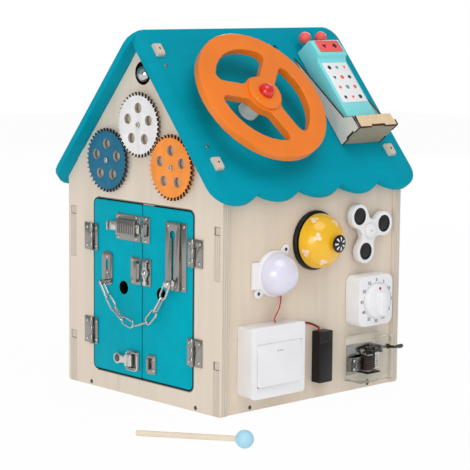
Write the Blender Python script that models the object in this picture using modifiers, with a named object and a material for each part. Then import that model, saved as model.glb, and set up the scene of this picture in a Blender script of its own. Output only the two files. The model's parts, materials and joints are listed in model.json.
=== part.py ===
"""Wooden activity house whose doors, walls and roof carry things to turn, press, slide and open.

Metres, +Z up, the doors on the -Y side. The origin is at the middle of the house's underside.
"""

import math

import bmesh
import bpy
from mathutils import Matrix, Vector

# House carcass
HOUSE_WIDTH = 0.290
HOUSE_DEPTH = 0.310
PLY = 0.010
WALL_INSET = 0.005
PANEL_ROUND = 0.004
GAP = 0.0003
OVERRUN = 0.003

# Roof slabs: distances along the slope are from the ridge
RIDGE_HEIGHT = 0.454
ROOF_ANGLE = math.radians(50.6)
ROOF_PLY = 0.008
ROOF_OVERHANG = 0.020
ROOF_CORNER = 0.021
CUSP_REACH = 0.242
SCALLOP_DEPTH = 0.012
SCALLOPS = 5
EAVE_CORNER = 0.028
TENON_UPPER = 0.0328
TENON_LOWER = 0.1996
TENON_WIDTH = 0.017
TENON_RISE = 0.006
TENON_ROUND = 0.003
PEG_HOLE_REACH = 0.031
PEG_HOLE_SIDE = 0.050
PEG_HOLE_RADIUS = 0.0035

# Tabs of the side walls in the slots of the front and back
UPPER_TAB_LOW = 0.163
UPPER_TAB_HIGH = 0.217
LOWER_TAB_HIGH = 0.056
SLOT_SPARE = 0.0105

# Doorway and doors
DOORWAY_HALF = 0.0945
DOORWAY_LOW = 0.023
DOORWAY_HIGH = 0.2424
DOORWAY_ROUND = 0.008
DOOR_PLY = 0.009
DOOR_CLEAR = 0.0014
SEAM_HALF = 0.0006
SEAM_ROUND = 0.002
FINGER_X = 0.0355
FINGER_Z = 0.134
FINGER_RADIUS = 0.0085
STOP_LEFT = -0.002
STOP_RIGHT = 0.0185
STOP_LAP = 0.008
STOP_DEPTH = 0.010

# Door hinges
HINGE_LOWS = (0.055, 0.175)
HINGE_HEIGHT = 0.034
HINGE_X = 0.0952
LEAF = 0.0012
PLATE_ROUND = 0.0015
FRAME_LEAF = 0.0158
DOOR_LEAF = 0.0102
KNUCKLE_RADIUS = 0.0026
KNUCKLE_LENGTH = 0.011
HINGE_PIN = 0.0010
HINGE_OUT = 0.0030

# Sliding bolt
BOLT_MIDDLE = 0.0255
BOLT_WIDTH = 0.046
BOLT_HEIGHT = 0.033
BOLT_Z = 0.2105
COVER_WIDTH = 0.036
COVER_HEIGHT = 0.020
COVER_RISE = 0.0070
TONGUE_HEIGHT = 0.011
TONGUE_THICK = 0.0024
TONGUE_TAIL = 0.059
TONGUE_TIP = 0.0022
TAIL_RISE = 0.0060
KEEPER_LEFT = 0.0010
KEEPER_WIDTH = 0.0140
KEEPER_STRAP = 0.0050

# Door chain with its track, knob and anchor
TRACK_LEFT = 0.048
TRACK_WIDTH = 0.0345
TRACK_LOW = 0.143
TRACK_HEIGHT = 0.083
TRACK_FLANGE = 0.0095
TRACK_RISE = 0.0046
TRACK_SLOT_X = 0.0607
TRACK_SLOT_LOW = 0.150
TRACK_SLOT_HALF = 0.0019
TRACK_ENTRY_Z = 0.2107
TRACK_ENTRY_RADIUS = 0.0050
SHOE_RADIUS = 0.0044
SHOE_THICK = 0.0014
NECK_RADIUS = 0.0015
COLLAR_RADIUS = 0.0046
HEAD_RADIUS = 0.0044
HEAD_THICK = 0.0026
CHAIN_OUT = 0.0123
CHAIN_LOW = 0.0924
CHAIN_SEAM = 0.0018
CHAIN_WIRE = 0.0010
CHAIN_HALF_WIDTH = 0.0030
CHAIN_LINKS = 4
CHAIN_FUSE = 0.0002
LINK_STEPS = 5
WAIST_share = 0.6
ANCHOR_X = -0.066
ANCHOR_WIDTH = 0.020
ANCHOR_LOW = 0.134
ANCHOR_HEIGHT = 0.042
ANCHOR_ROUND = 0.0060
ANCHOR_HOLE_HALF = 0.0024
ANCHOR_HOLE_LOW = 0.1560
ANCHOR_HOLE_HIGH = 0.1640
STAPLE_X = -0.064
STAPLE_Z = 0.1385
STAPLE_HALF = 0.0052

# Turn latch in the middle of the doors
LATCH_Z = 0.158
LATCH_X = 0.0095
LATCH_BASE_WIDTH = 0.0160
LATCH_HEIGHT = 0.034
LATCH_POST = 0.0020
LATCH_REACH = 0.0142
LATCH_TAIL = 0.0160
LATCH_ARM_HALF = 0.0032
LATCH_ARM_THICK = 0.0022
LATCH_HUB = 0.0058
LATCH_CAP_RADIUS = 0.0040
LATCH_CAP_TOP = 0.0078
LATCH_BOSS = 0.0012
EYE_LEFT = -0.0205
EYE_RIGHT = -0.0015
BRIDGE_LEFT = -0.0085
BRIDGE_WIDTH = 0.0050
BRIDGE_LEG = 0.0030
BRIDGE_TOP = 0.0075
BRIDGE_HALF = 0.0130

# Toggle latch near the foot of the doors
TOGGLE_Z = 0.0450
TOGGLE_PIVOT_X = -0.0160
TOGGLE_PIVOT_OUT = 0.0050
TOGGLE_BASE_LEFT = -0.0270
TOGGLE_BASE_RIGHT = -0.0050
TOGGLE_BASE_HALF = 0.0120
EAR_HALF = 0.0095
EAR_THICK = 0.0012
EAR_RADIUS = 0.0040
TOGGLE_PIN = 0.0010
BARREL_RADIUS = 0.0022
LEVER_HALF = 0.0076
LEVER_THICK = 0.0014
LEVER_END = -0.0474
LOOP_PIVOT_X = -0.0225
LOOP_PIVOT_OUT = 0.0068
LOOP_HALF = 0.0112
LOOP_RIGHT = -0.0022
LOOP_WIRE = 0.0010
TOGGLE_KEEPER_LEFT = 0.0110
TOGGLE_KEEPER_WIDTH = 0.0160
TOGGLE_KEEPER_HALF = 0.0122
LIP_HALF = 0.0075
LIP_RISE = 0.0058

# Gear train on the gable
GEAR_TEETH = 40
GEAR_OUTER = 0.0400
GEAR_ROOT = 0.0358
GEAR_SPREAD = 0.0600
GEAR_TOP_Z = 0.3390
GEAR_LOW_Z = 0.2916
GEAR_THICK = 0.0035
GEAR_BACK = 0.0043
GEAR_BORE = 0.0027
GEAR_HOLES = 5
GEAR_HOLE_RADIUS = 0.0065
GEAR_HOLE_CIRCLE = 0.0205
ROOT_WIDTH_share = 0.40
SPINDLE_RADIUS = 0.0024
SPINDLE_COLLAR = 0.0050
SPINDLE_HEAD = 0.0034
SPINDLE_HEAD_THICK = 0.0014

# Jingle bell in its round hole
BELL_HOLE_Z = 0.4015
BELL_HOLE_RADIUS = 0.0145
JINGLE_RADIUS = 0.0110
JINGLE_DROP = 0.0010
JINGLE_PIN = 0.0009
JINGLE_PIN_Z = 0.4129
JINGLE_EYE = 0.0020
JINGLE_EYE_WIRE = 0.0007
JINGLE_SLOT = 0.0020

# Steering wheel and horn on the roof
WHEEL_REACH = 0.1287
WHEEL_SIDE = -0.0584
WHEEL_OUTER = 0.0918
WHEEL_INNER = 0.0680
WHEEL_HUB = 0.0260
WHEEL_TOP = 0.0380
WHEEL_THICK = 0.0110
SPOKE_HALF = 0.0110
SPOKE_ROUND = 0.0080
SPOKE_FIRST = math.radians(18)
SPOKES = 3
WHEEL_EDGE = 0.0030
AXLE_RADIUS = 0.0055
BOSS_RADIUS = 0.0240
BOSS_RISE = 0.0050
BOSS_EDGE = 0.0020
STANDOFF_RADIUS = 0.0140
HORN_RADIUS = 0.0098
HORN_SEAT_DEPTH = 0.0062
HORN_TRAVEL = 0.0025
HORN_DOME = 0.0100

# Toy telephone in its tray on the roof
TRAY_SIDE = 0.1076
TRAY_WIDTH = 0.0720
TRAY_PLY = 0.0030
TRAY_TIP = 0.0486
TRAY_BEND = 0.1600
TRAY_BEND_RISE = 0.0240
TRAY_SHOULDER = 0.1680
TRAY_FOOT = 0.1865
TRAY_RISE = 0.0400
TRAY_EDGE = 0.0006
PHONE_WIDTH = 0.0520
PHONE_TOP = 0.0420
PHONE_FACE = 0.0245
PHONE_HEAD_END = 0.0690
PHONE_HEAD_FACE = 0.0315
PHONE_BACK = 0.0004
PHONE_ROUND = 0.0050
KEYPAD_WIDTH = 0.0440
KEYPAD_TOP = 0.0730
KEYPAD_LOW = 0.1390
KEYPAD_RISE = 0.0012
DISPLAY_WIDTH = 0.0410
DISPLAY_TOP = 0.0445
DISPLAY_LOW = 0.0640
BALL_RADIUS = 0.0080
BALL_REACH = 0.0290
BALL_SPREAD = 0.0145
BALL_RISE = 0.0150
BALL_STEM = 0.0025

# Push light on the right wall
LIGHT_Y = -0.0680
LIGHT_Z = 0.1645
LIGHT_RADIUS = 0.0265
LIGHT_BASE_RADIUS = 0.0285
LIGHT_BASE_THICK = 0.0070
LIGHT_RIM = 0.0030
LIGHT_EAR_FIRST = math.radians(55)
LIGHT_EAR_TURN = math.radians(166)
LIGHT_EAR_REACH = 0.0340
LIGHT_EAR_RADIUS = 0.0060
LIGHT_EAR_THICK = 0.0025
LIGHT_TAB_REACH = 0.0366
LIGHT_TAB_HALF = 0.0160
LIGHT_LEAD_RADIUS = 0.0016
LIGHT_LEAD_OFFSET = 0.0115

# Call bell on the right wall
CALL_Y = 0.0017
CALL_Z = 0.1988
CALL_BASE_RADIUS = 0.0370
CALL_BASE_THICK = 0.0060
CALL_DOME_RADIUS = 0.0340
CALL_DOME_LOW = 0.0080
CALL_DOME_TOP = 0.0385
CALL_WALL = 0.0015
CALL_POST = 0.0032
PLUNGER_RADIUS = 0.0110
PLUNGER_CAP = 0.0034
PLUNGER_STEM = 0.0022
PLUNGER_TOP = 0.0460
PLUNGER_TRAVEL = 0.0030

# Three-lobed hand spinner on the right wall
SPINNER_Y = 0.0904
SPINNER_Z = 0.2044
SPINNER_BACK = 0.0045
SPINNER_THICK = 0.0080
SPINNER_REACH = 0.0268
SPINNER_LOBE = 0.0155
SPINNER_LOBES = 3
SPINNER_FIRST = math.radians(14.7)
SPINNER_DISC = 0.0110
SPINNER_DISC_SINK = 0.0010
SPINNER_FILLET = 0.0100
SPINNER_BORE = 0.0042
SPINNER_CAP = 0.0095
SPINNER_CAP_THICK = 0.0030
SPINNER_FOOT = 0.0120

# Dial timer on the right wall
TIMER_Y = 0.0905
TIMER_Z = 0.1170
TIMER_WIDTH = 0.0610
TIMER_HEIGHT = 0.0640
TIMER_DEPTH = 0.0250
TIMER_ROUND = 0.0100
TIMER_EDGE = 0.0030
TIMER_DIAL = 0.0217
TIMER_DIAL_THICK = 0.0060
TIMER_GRIP_HALF = 0.0045
TIMER_GRIP_RISE = 0.0080

# Rocker switch on the right wall
SWITCH_Y = -0.0830
SWITCH_Z = 0.0640
SWITCH_SIZE = 0.0860
SWITCH_BOX_DEPTH = 0.0220
SWITCH_PLATE = 0.0070
SWITCH_ROUND = 0.0040
SWITCH_STEP = 0.0006
ROCKER_WIDTH = 0.0730
ROCKER_HEIGHT = 0.0510
ROCKER_DROP = 0.0032
ROCKER_THICK = 0.0050
ROCKER_TILT = math.radians(3.5)
ROCKER_WELL = 0.0060
ROCKER_CLEAR = 0.0006

# Battery box and leads on the right wall
BATTERY_Y = 0.0130
BATTERY_WIDTH = 0.0233
BATTERY_LOW = 0.0210
BATTERY_HIGH = 0.0855
BATTERY_DEPTH = 0.0135
BATTERY_ROUND = 0.0015
BATTERY_RIDGE = 0.0008
LEAD_RADIUS = 0.0013
LEAD_CLEAR = 0.0010
LEAD_START_Z = 0.0930
LEAD_ARCH_Z = 0.0970
LEAD_STEPS = 5

# Hand-cranked music movement in its clear case
CASE_LEFT = 0.0600
CASE_RIGHT = 0.1200
CASE_LOW = 0.0145
CASE_HIGH = 0.0710
CASE_DEPTH = 0.0300
CASE_WALL = 0.0020
MUSIC_BED_LEFT = 0.0640
MUSIC_BED_RIGHT = 0.1100
MUSIC_BED_THICK = 0.0010
MUSIC_BED_LOW = 0.0200
MUSIC_BED_HIGH = 0.0585
DRUM_Y = 0.0930
DRUM_OUT = 0.0095
DRUM_RADIUS = 0.0078
DRUM_LOW = 0.0255
DRUM_HIGH = 0.0435
DRUM_STUB = 0.0015
DRUM_CHEEK = 0.0020
DRUM_CHEEK_HALF = 0.0050
DRUM_WHEEL = 0.0042
DRUM_WHEEL_THICK = 0.0040
COMB_TEETH = 9
CRANK_Z = 0.0530
CRANK_OUT = 0.0165
CRANK_SHAFT = 0.0017
CRANK_HOLE_CLEAR = 0.0006
CRANK_ARM_Y = 0.1225
CRANK_ARM = 0.0100
CRANK_REST = math.radians(90)
CRANK_KNOB_RADIUS = 0.0030
CRANK_KNOB_END = 0.1400

# Mallet on the ground in front
MALLET_BALL = Vector((0.2650, -0.2315, 0.0106))
MALLET_END = Vector((0.1433, -0.2854, 0.0036))
MALLET_BALL_RADIUS = 0.0105
MALLET_STICK_RADIUS = 0.0035

# Facets
ROUND_SIDES = 28
SMALL_SIDES = 12
ARC_STEPS = 4
SMOOTH_ANGLE = math.radians(35)
MERGE = 0.00001

# Colours, as sRGB shares
TEAL = (0.00, 0.60, 0.69)
DOOR_TEAL = (0.00, 0.68, 0.78)
BIRCH = (0.89, 0.84, 0.78)
ORANGE = (1.00, 0.50, 0.15)
BLUE = (0.12, 0.44, 0.64)
WHITE = (0.92, 0.92, 0.92)
RED = (0.85, 0.08, 0.12)
YELLOW = (0.91, 0.72, 0.12)
BLACK = (0.05, 0.05, 0.05)
STEEL = (0.72, 0.72, 0.70)
GREY = (0.50, 0.52, 0.52)
PHONE_TEAL = (0.42, 0.78, 0.79)
PALE_BLUE = (0.75, 0.89, 0.94)
CLEAR = (0.88, 0.88, 0.90)
DARK_BROWN = (0.20, 0.15, 0.13)

HALF_WIDTH = HOUSE_WIDTH / 2
HALF_DEPTH = HOUSE_DEPTH / 2
ROOF_LENGTH = HOUSE_DEPTH + 2 * ROOF_OVERHANG
WALL_FACE = HALF_WIDTH - WALL_INSET
WALL_BACK = WALL_FACE - PLY
COS = math.cos(ROOF_ANGLE)
SIN = math.sin(ROOF_ANGLE)
GABLE_RISE = -(ROOF_PLY + GAP)

# Local frames: x and y lie in the face, z points out of it
FRONT = Matrix(((1, 0, 0, 0), (0, 0, -1, -HALF_DEPTH), (0, 1, 0, 0), (0, 0, 0, 1)))
SIDE = Matrix(((0, 0, 1, WALL_FACE), (1, 0, 0, 0), (0, 1, 0, 0), (0, 0, 0, 1)))
ROOF_RIGHT = Matrix(((COS, 0, SIN, 0), (0, 1, 0, 0), (-SIN, 0, COS, RIDGE_HEIGHT), (0, 0, 0, 1)))
ROOF_LEFT = Matrix(((-COS, 0, -SIN, 0), (0, -1, 0, 0), (-SIN, 0, COS, RIDGE_HEIGHT), (0, 0, 0, 1)))
GROUND = Matrix.Identity(4)

parts = None
cutters = None


def clear_scene():
    for obj in list(bpy.data.objects):
        bpy.data.objects.remove(obj, do_unlink=True)


def new_collection(name):
    group = bpy.data.collections.new(name)
    bpy.context.scene.collection.children.link(group)
    return group


def linear(value):
    """An sRGB share as linear light."""
    return value / 12.92 if value <= 0.04045 else ((value + 0.055) / 1.055) ** 2.4


def dress(obj, colour, roughness, metallic=0.0):
    material = bpy.data.materials.new(obj.name)
    material.use_nodes = True
    shader = material.node_tree.nodes["Principled BSDF"]
    shader.inputs["Base Color"].default_value = (*[linear(value) for value in colour], 1.0)
    shader.inputs["Roughness"].default_value = roughness
    shader.inputs["Metallic"].default_value = metallic
    obj.data.materials.clear()
    obj.data.materials.append(material)
    return obj


def at(frame, x, y, z=0.0):
    """The frame moved along its own axes."""
    return frame @ Matrix.Translation((x, y, z))


def turn(frame, angle, axis="Z"):
    return frame @ Matrix.Rotation(angle, 4, axis)


def make(name, mesh, frame):
    mesh.shade_smooth()
    mesh.set_sharp_from_angle(angle=SMOOTH_ANGLE)
    obj = bpy.data.objects.new(name, mesh)
    obj.matrix_world = frame
    parts.objects.link(obj)
    return obj


def block(name, low, high, frame):
    """A box between two corners of the frame."""
    low = Vector(low)
    high = Vector(high)
    mesh = bpy.data.meshes.new(name)
    bm = bmesh.new()
    scale = Matrix.Diagonal((*(high - low), 1.0))
    bmesh.ops.create_cube(bm, size=1.0, matrix=Matrix.Translation((low + high) / 2) @ scale)
    bm.to_mesh(mesh)
    bm.free()
    return make(name, mesh, frame)


def mesh_of_curve(curve, shift=(0, 0, 0)):
    """The curve's surface as a closed mesh, with its loose caps welded."""
    guide = bpy.data.objects.new(curve.name, curve)
    bpy.context.scene.collection.objects.link(guide)
    graph = bpy.context.evaluated_depsgraph_get()
    mesh = bpy.data.meshes.new_from_object(guide.evaluated_get(graph))
    bpy.data.objects.remove(guide, do_unlink=True)
    bm = bmesh.new()
    bm.from_mesh(mesh)
    bmesh.ops.remove_doubles(bm, verts=bm.verts, dist=MERGE)
    bmesh.ops.recalc_face_normals(bm, faces=bm.faces)
    bmesh.ops.translate(bm, verts=bm.verts, vec=shift)
    bm.to_mesh(mesh)
    bm.free()
    mesh.materials.clear()
    return mesh


def add_spline(curve, points, closed):
    spline = curve.splines.new("POLY")
    spline.points.add(len(points) - 1)
    for place, point in zip(spline.points, points):
        place.co = (*Vector(point).to_3d(), 1.0)
    spline.use_cyclic_u = closed


def flat(name, outlines, low, high, frame):
    """A plate between two heights: the first outline is its edge, the others its holes."""
    curve = bpy.data.curves.new(name, "CURVE")
    curve.dimensions = "2D"
    curve.fill_mode = "BOTH"
    curve.extrude = (high - low) / 2
    for points in outlines:
        add_spline(curve, points, True)
    return make(name, mesh_of_curve(curve, (0, 0, (low + high) / 2)), frame)


def wire(name, points, radius, frame, closed=False, resolution=2):
    """A round wire along the points."""
    curve = bpy.data.curves.new(name, "CURVE")
    curve.dimensions = "3D"
    curve.bevel_depth = radius
    curve.bevel_resolution = resolution
    curve.use_fill_caps = not closed
    add_spline(curve, points, closed)
    return make(name, mesh_of_curve(curve), frame)


def turned(name, profile, frame, sides=ROUND_SIDES, ring=False):
    """A profile of (radius, height) pairs, top to bottom, turned round the frame's z axis."""
    mesh = bpy.data.meshes.new(name)
    count = len(profile)
    edges = [(i, (i + 1) % count) for i in range(count if ring else count - 1)]
    mesh.from_pydata([(radius, 0, height) for radius, height in profile], edges, [])
    obj = bpy.data.objects.new(name, mesh)
    obj.matrix_world = frame
    parts.objects.link(obj)
    screw = obj.modifiers.new("Turn", "SCREW")
    screw.axis = "Z"
    screw.angle = math.tau
    screw.steps = sides
    screw.render_steps = sides
    screw.use_merge_vertices = True
    screw.merge_threshold = MERGE
    screw.use_smooth_shade = True
    return obj


def pin(name, radius, low, high, frame, sides=SMALL_SIDES):
    return turned(name, [(0, high), (radius, high), (radius, low), (0, low)], frame, sides)


def combine(obj, tool, operation):
    for group in list(tool.users_collection):
        group.objects.unlink(tool)
    cutters.objects.link(tool)
    tool.hide_render = True
    tool.display_type = "WIRE"
    modifier = obj.modifiers.new(tool.name, "BOOLEAN")
    modifier.operation = operation
    modifier.object = tool
    return obj


def join(obj, *tools):
    for tool in tools:
        combine(obj, tool, "UNION")
    return obj


def cut(obj, *tools):
    for tool in tools:
        combine(obj, tool, "DIFFERENCE")
    return obj


def bevel(obj, width, segments=2):
    """Rounds the sharp edges."""
    edge = obj.modifiers.new("Round", "BEVEL")
    edge.width = width
    edge.segments = segments
    edge.limit_method = "ANGLE"
    edge.angle_limit = SMOOTH_ANGLE
    return obj


def arc(x, y, radius, start, end, steps=ARC_STEPS):
    """Points on an arc, angles in quarter turns."""
    points = []
    for i in range(steps + 1):
        angle = math.pi / 2 * (start + (end - start) * i / steps)
        points.append((x + radius * math.cos(angle), y + radius * math.sin(angle)))
    return points


def circle(x, y, radius, sides=SMALL_SIDES):
    return arc(x, y, radius, 0, 4, sides)[:-1]


def rounded(left, right, low, high, radius, inner=None):
    """A rectangle with round corners; inner is the radius of its right corners where they differ."""
    inner = radius if inner is None else inner
    return (
        arc(left + radius, low + radius, radius, 2, 3)
        + arc(right - inner, low + inner, inner, 3, 4)
        + arc(right - inner, high - inner, inner, 0, 1)
        + arc(left + radius, high - radius, radius, 1, 2)
    )


def mirrored(points):
    return [(-x, y) for x, y in points]


def parent_to_pivot(obj, name, frame):
    """Hangs the object on an empty at its joint."""
    pivot = bpy.data.objects.new(name, None)
    pivot.matrix_world = frame
    parts.objects.link(pivot)
    place = obj.matrix_world.copy()
    obj.parent = pivot
    obj.matrix_parent_inverse = frame.inverted()
    obj.matrix_world = place
    return obj


def on_gable(along, rise):
    """A point of the gable's plane: a distance down the slope from the ridge and a height over the roof."""
    return (along * COS + rise * SIN, RIDGE_HEIGHT - along * SIN + rise * COS)


def half_gable():
    """Right half of the front outline, from the bottom notch up to the apex."""
    slot_left = WALL_BACK - GAP
    slot_right = WALL_FACE + GAP
    slot_top = LOWER_TAB_HIGH + SLOT_SPARE
    points = [(slot_left, 0), (slot_left, slot_top), (slot_right, slot_top), (slot_right, 0)]
    points += arc(HALF_WIDTH - PANEL_ROUND, PANEL_ROUND, PANEL_ROUND, 3, 4)
    points.append(on_gable((HALF_WIDTH - GABLE_RISE * SIN) / COS, GABLE_RISE))
    for middle in (TENON_LOWER, TENON_UPPER):
        low = middle + TENON_WIDTH / 2
        high = middle - TENON_WIDTH / 2
        top = TENON_RISE - TENON_ROUND
        points.append(on_gable(low, GABLE_RISE))
        points += [on_gable(x, y) for x, y in arc(low - TENON_ROUND, top, TENON_ROUND, 0, 1, 3)]
        points += [on_gable(x, y) for x, y in arc(high + TENON_ROUND, top, TENON_ROUND, 1, 2, 3)]
        points.append(on_gable(high, GABLE_RISE))
    points.append((0, RIDGE_HEIGHT + GABLE_RISE / COS))
    return points


def gable_panel(name, holes, frame):
    right = half_gable()
    outline = right + mirrored(right[:-1])[::-1]
    for side in (-1, 1):
        ends = sorted((side * (WALL_BACK - GAP), side * (WALL_FACE + GAP)))
        low = UPPER_TAB_LOW - GAP
        high = UPPER_TAB_HIGH + SLOT_SPARE
        holes = holes + [[(ends[0], low), (ends[1], low), (ends[1], high), (ends[0], high)]]
    return flat(name, [outline] + holes, -PLY, 0, frame)


def gear_centres():
    return {
        "gear_white": (0, GEAR_TOP_Z),
        "gear_blue": (-GEAR_SPREAD, GEAR_LOW_Z),
        "gear_orange": (GEAR_SPREAD, GEAR_LOW_Z),
    }


def spindle(name, frame):
    """Collar behind the gear, shaft through it and head over it."""
    seat = GEAR_BACK - GAP
    shaft_end = GEAR_BACK + GEAR_THICK + GAP
    top = shaft_end + SPINDLE_HEAD_THICK
    profile = [
        (0, top),
        (SPINDLE_HEAD - SPINDLE_HEAD_THICK / 2, top),
        (SPINDLE_HEAD, shaft_end + SPINDLE_HEAD_THICK / 2),
        (SPINDLE_HEAD, shaft_end),
        (SPINDLE_RADIUS, shaft_end),
        (SPINDLE_RADIUS, seat),
        (SPINDLE_COLLAR, seat),
        (SPINDLE_COLLAR, -PLY / 2),
        (0, -PLY / 2),
    ]
    return turned(name, profile, frame, SMALL_SIDES)


def front_panel():
    doorway = rounded(-DOORWAY_HALF, DOORWAY_HALF, DOORWAY_LOW, DOORWAY_HIGH, DOORWAY_ROUND)
    panel = gable_panel("front_panel", [doorway, circle(0, BELL_HOLE_Z, BELL_HOLE_RADIUS, 24)], FRONT)
    for gear, (x, z) in gear_centres().items():
        join(panel, spindle(gear + "_spindle", at(FRONT, x, z)))
    pin_end = BELL_HOLE_RADIUS + OVERRUN
    across = turn(at(FRONT, 0, JINGLE_PIN_Z, -PLY / 2), math.pi / 2, "Y")
    join(panel, pin("jingle_pin", JINGLE_PIN, -pin_end, pin_end, across, 8))
    stop_low = (STOP_LEFT, DOORWAY_HIGH - STOP_LAP, -PLY - STOP_DEPTH)
    stop_high = (STOP_RIGHT, DOORWAY_HIGH + STOP_LAP, -DOOR_PLY - GAP)
    join(panel, block("door_stop", stop_low, stop_high, FRONT))
    return dress(panel, BIRCH, 0.55)


def back_panel():
    back = turn(at(FRONT, 0, 0, -HOUSE_DEPTH), math.pi, "Y")
    return dress(gable_panel("back_panel", [], back), BIRCH, 0.55)


def wall_top():
    """The roof's inner plane over the wall's outer face."""
    return RIDGE_HEIGHT + (GABLE_RISE - WALL_FACE * SIN) / COS - GAP


def side_wall(name, low, high):
    """A wall with two tabs at each end that reach the outer faces of the front and back."""
    inner = HALF_DEPTH - PLY - GAP
    tabs = [
        (HALF_DEPTH, 0),
        (HALF_DEPTH, LOWER_TAB_HIGH),
        (inner, LOWER_TAB_HIGH),
        (inner, UPPER_TAB_LOW),
        (HALF_DEPTH, UPPER_TAB_LOW),
        (HALF_DEPTH, UPPER_TAB_HIGH),
        (inner, UPPER_TAB_HIGH),
        (inner, wall_top()),
    ]
    wall = flat(name, [tabs + mirrored(tabs)[::-1]], low, high, SIDE)
    return dress(wall, BIRCH, 0.55)


def floor_panel():
    x = WALL_BACK - GAP
    y = HALF_DEPTH - PLY - GAP
    return dress(block("floor_panel", (-x, -y, 0), (x, y, PLY), GROUND), BIRCH, 0.55)


def half_eave():
    """Points (reach, side) of a slab's edge from the middle of the eave to the ridge, on one side."""
    pitch = ROOF_LENGTH / SCALLOPS
    half = pitch / 2
    radius = (half**2 + SCALLOP_DEPTH**2) / (2 * SCALLOP_DEPTH)
    centre = CUSP_REACH + SCALLOP_DEPTH - radius
    spread = math.asin(half / radius)

    def scallop(middle, start, steps):
        """The scallop's arc from a share of its half width to its far cusp."""
        angles = [spread * (start + (1 - start) * i / steps) for i in range(steps + 1)]
        return [(centre + radius * math.cos(a), middle + radius * math.sin(a)) for a in angles]

    points = scallop(0, 0, 4)
    points += scallop(pitch, -1, 8)[1:]
    points += scallop(2 * pitch, -1, 8)[1:5]
    bottom = CUSP_REACH + SCALLOP_DEPTH
    corner = [math.pi / 2 * i / 6 for i in range(1, 7)]
    points += [
        (bottom - EAVE_CORNER * (1 - math.cos(a)), 2 * pitch + half * math.sin(a)) for a in corner
    ]
    points += arc(ROOF_CORNER, ROOF_LENGTH / 2 - ROOF_CORNER, ROOF_CORNER, 1, 2)
    return points


def roof_slab(name, frame, holes):
    """A sloping slab with a scalloped eave, slots for the tenons and its ridge edge cut upright."""
    edge = half_eave()
    outline = [(x, -y) for x, y in edge[1:]][::-1] + edge
    slab = flat(name, [outline] + holes, -ROOF_PLY, 0, frame)
    for number, middle in enumerate((TENON_UPPER, TENON_LOWER)):
        for side in (-1, 1):
            y = side * (HALF_DEPTH - PLY / 2)
            low = (middle - TENON_WIDTH / 2 - GAP, y - PLY / 2 - GAP, -ROOF_PLY - OVERRUN)
            high = (middle + TENON_WIDTH / 2 + GAP, y + PLY / 2 + GAP, OVERRUN)
            cut(slab, block(f"{name}_slot_{number}_{side}", low, high, frame))
    sign = 1 if frame is ROOF_LEFT else -1
    far = ROOF_LENGTH / 2 + OVERRUN
    ends = sorted((sign * RIDGE_HEIGHT, -sign * GAP / 2))
    low = (ends[0], -far, 0)
    high = (ends[1], far, RIDGE_HEIGHT + OVERRUN)
    cut(slab, block(name + "_mitre", low, high, GROUND))
    return dress(slab, TEAL, 0.4)


def roof():
    peg_hole = circle(PEG_HOLE_REACH, PEG_HOLE_SIDE, PEG_HOLE_RADIUS, 12)
    roof_slab("roof_right", ROOF_RIGHT, [peg_hole])
    roof_slab("roof_left", ROOF_LEFT, [])


def hinge_frame(side):
    """The hinge axis of one door, seen as local z, at the height of the ground."""
    return FRONT @ Matrix.Translation((side * HINGE_X, 0, HINGE_OUT))


def door(name, side):
    outer = DOORWAY_HALF - DOOR_CLEAR
    low = DOORWAY_LOW + DOOR_CLEAR
    high = DOORWAY_HIGH - DOOR_CLEAR
    edge = rounded(SEAM_HALF, outer, low, high, SEAM_ROUND, DOORWAY_ROUND - DOOR_CLEAR)
    hole = circle(FINGER_X, FINGER_Z, FINGER_RADIUS, 24)
    if side < 0:
        edge = mirrored(edge)[::-1]
        hole = mirrored(hole)[::-1]
    panel = dress(flat(name, [edge, hole], -DOOR_PLY, 0, FRONT), DOOR_TEAL, 0.4)
    return parent_to_pivot(panel, name + "_pivot", hinge_frame(side))


def leaf_outline(near, far, low, high, notch_low, notch_high, notch):
    """A leaf from its far edge to the axis, with a notch at the axis between two heights."""
    return [
        (far, low),
        (near, low),
        (near, notch_low),
        (notch, notch_low),
        (notch, notch_high),
        (near, notch_high),
        (near, high),
        (far, high),
    ]


def hinge(side, number, low):
    """A butt hinge: the frame leaf has the outer knuckles and the pin, the door leaf the middle knuckle."""
    label = ("left" if side < 0 else "right") + "_" + ("lower" if number == 0 else "upper")
    high = low + HINGE_HEIGHT
    axis = side * HINGE_X
    clear = KNUCKLE_RADIUS + GAP
    knuckles = ((low, low + KNUCKLE_LENGTH), (high - KNUCKLE_LENGTH, high))
    upright = turn(at(FRONT, axis, 0, HINGE_OUT), -math.pi / 2, "X")

    edge = leaf_outline(
        axis, axis + side * FRAME_LEAF, low, high, knuckles[0][1], knuckles[1][0], axis + side * clear
    )
    if side > 0:
        edge = edge[::-1]
    fixed = flat("hinge_frame_" + label, [edge], GAP, GAP + LEAF, FRONT)
    for i, (start, end) in enumerate(knuckles):
        join(fixed, pin(f"knuckle_{label}_{i}", KNUCKLE_RADIUS, start, end, upright))
    join(fixed, pin("hinge_pin_" + label, HINGE_PIN, low + LEAF, high - LEAF, upright, 12))
    dress(fixed, STEEL, 0.3, 1.0)

    near = axis - side * clear
    tongue_low = knuckles[0][1] + GAP
    tongue_high = knuckles[1][0] - GAP
    edge = leaf_outline(near, axis - side * DOOR_LEAF, low, high, tongue_low, tongue_high, axis)
    if side < 0:
        edge = edge[::-1]
    moving = flat("hinge_door_" + label, [edge], GAP, GAP + LEAF, FRONT)
    join(moving, pin("barrel_" + label, KNUCKLE_RADIUS, tongue_low, tongue_high, upright))
    bore = (tongue_low - OVERRUN, tongue_high + OVERRUN)
    cut(moving, pin("bore_" + label, HINGE_PIN + GAP, *bore, upright, 12))
    dress(moving, STEEL, 0.3, 1.0)


def screw_plate(name, left, width, middle, height):
    """A thin metal plate lying on a door."""
    edge = rounded(left, left + width, middle - height / 2, middle + height / 2, PLATE_ROUND)
    return flat(name, [edge], GAP, GAP + LEAF, FRONT)


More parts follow.
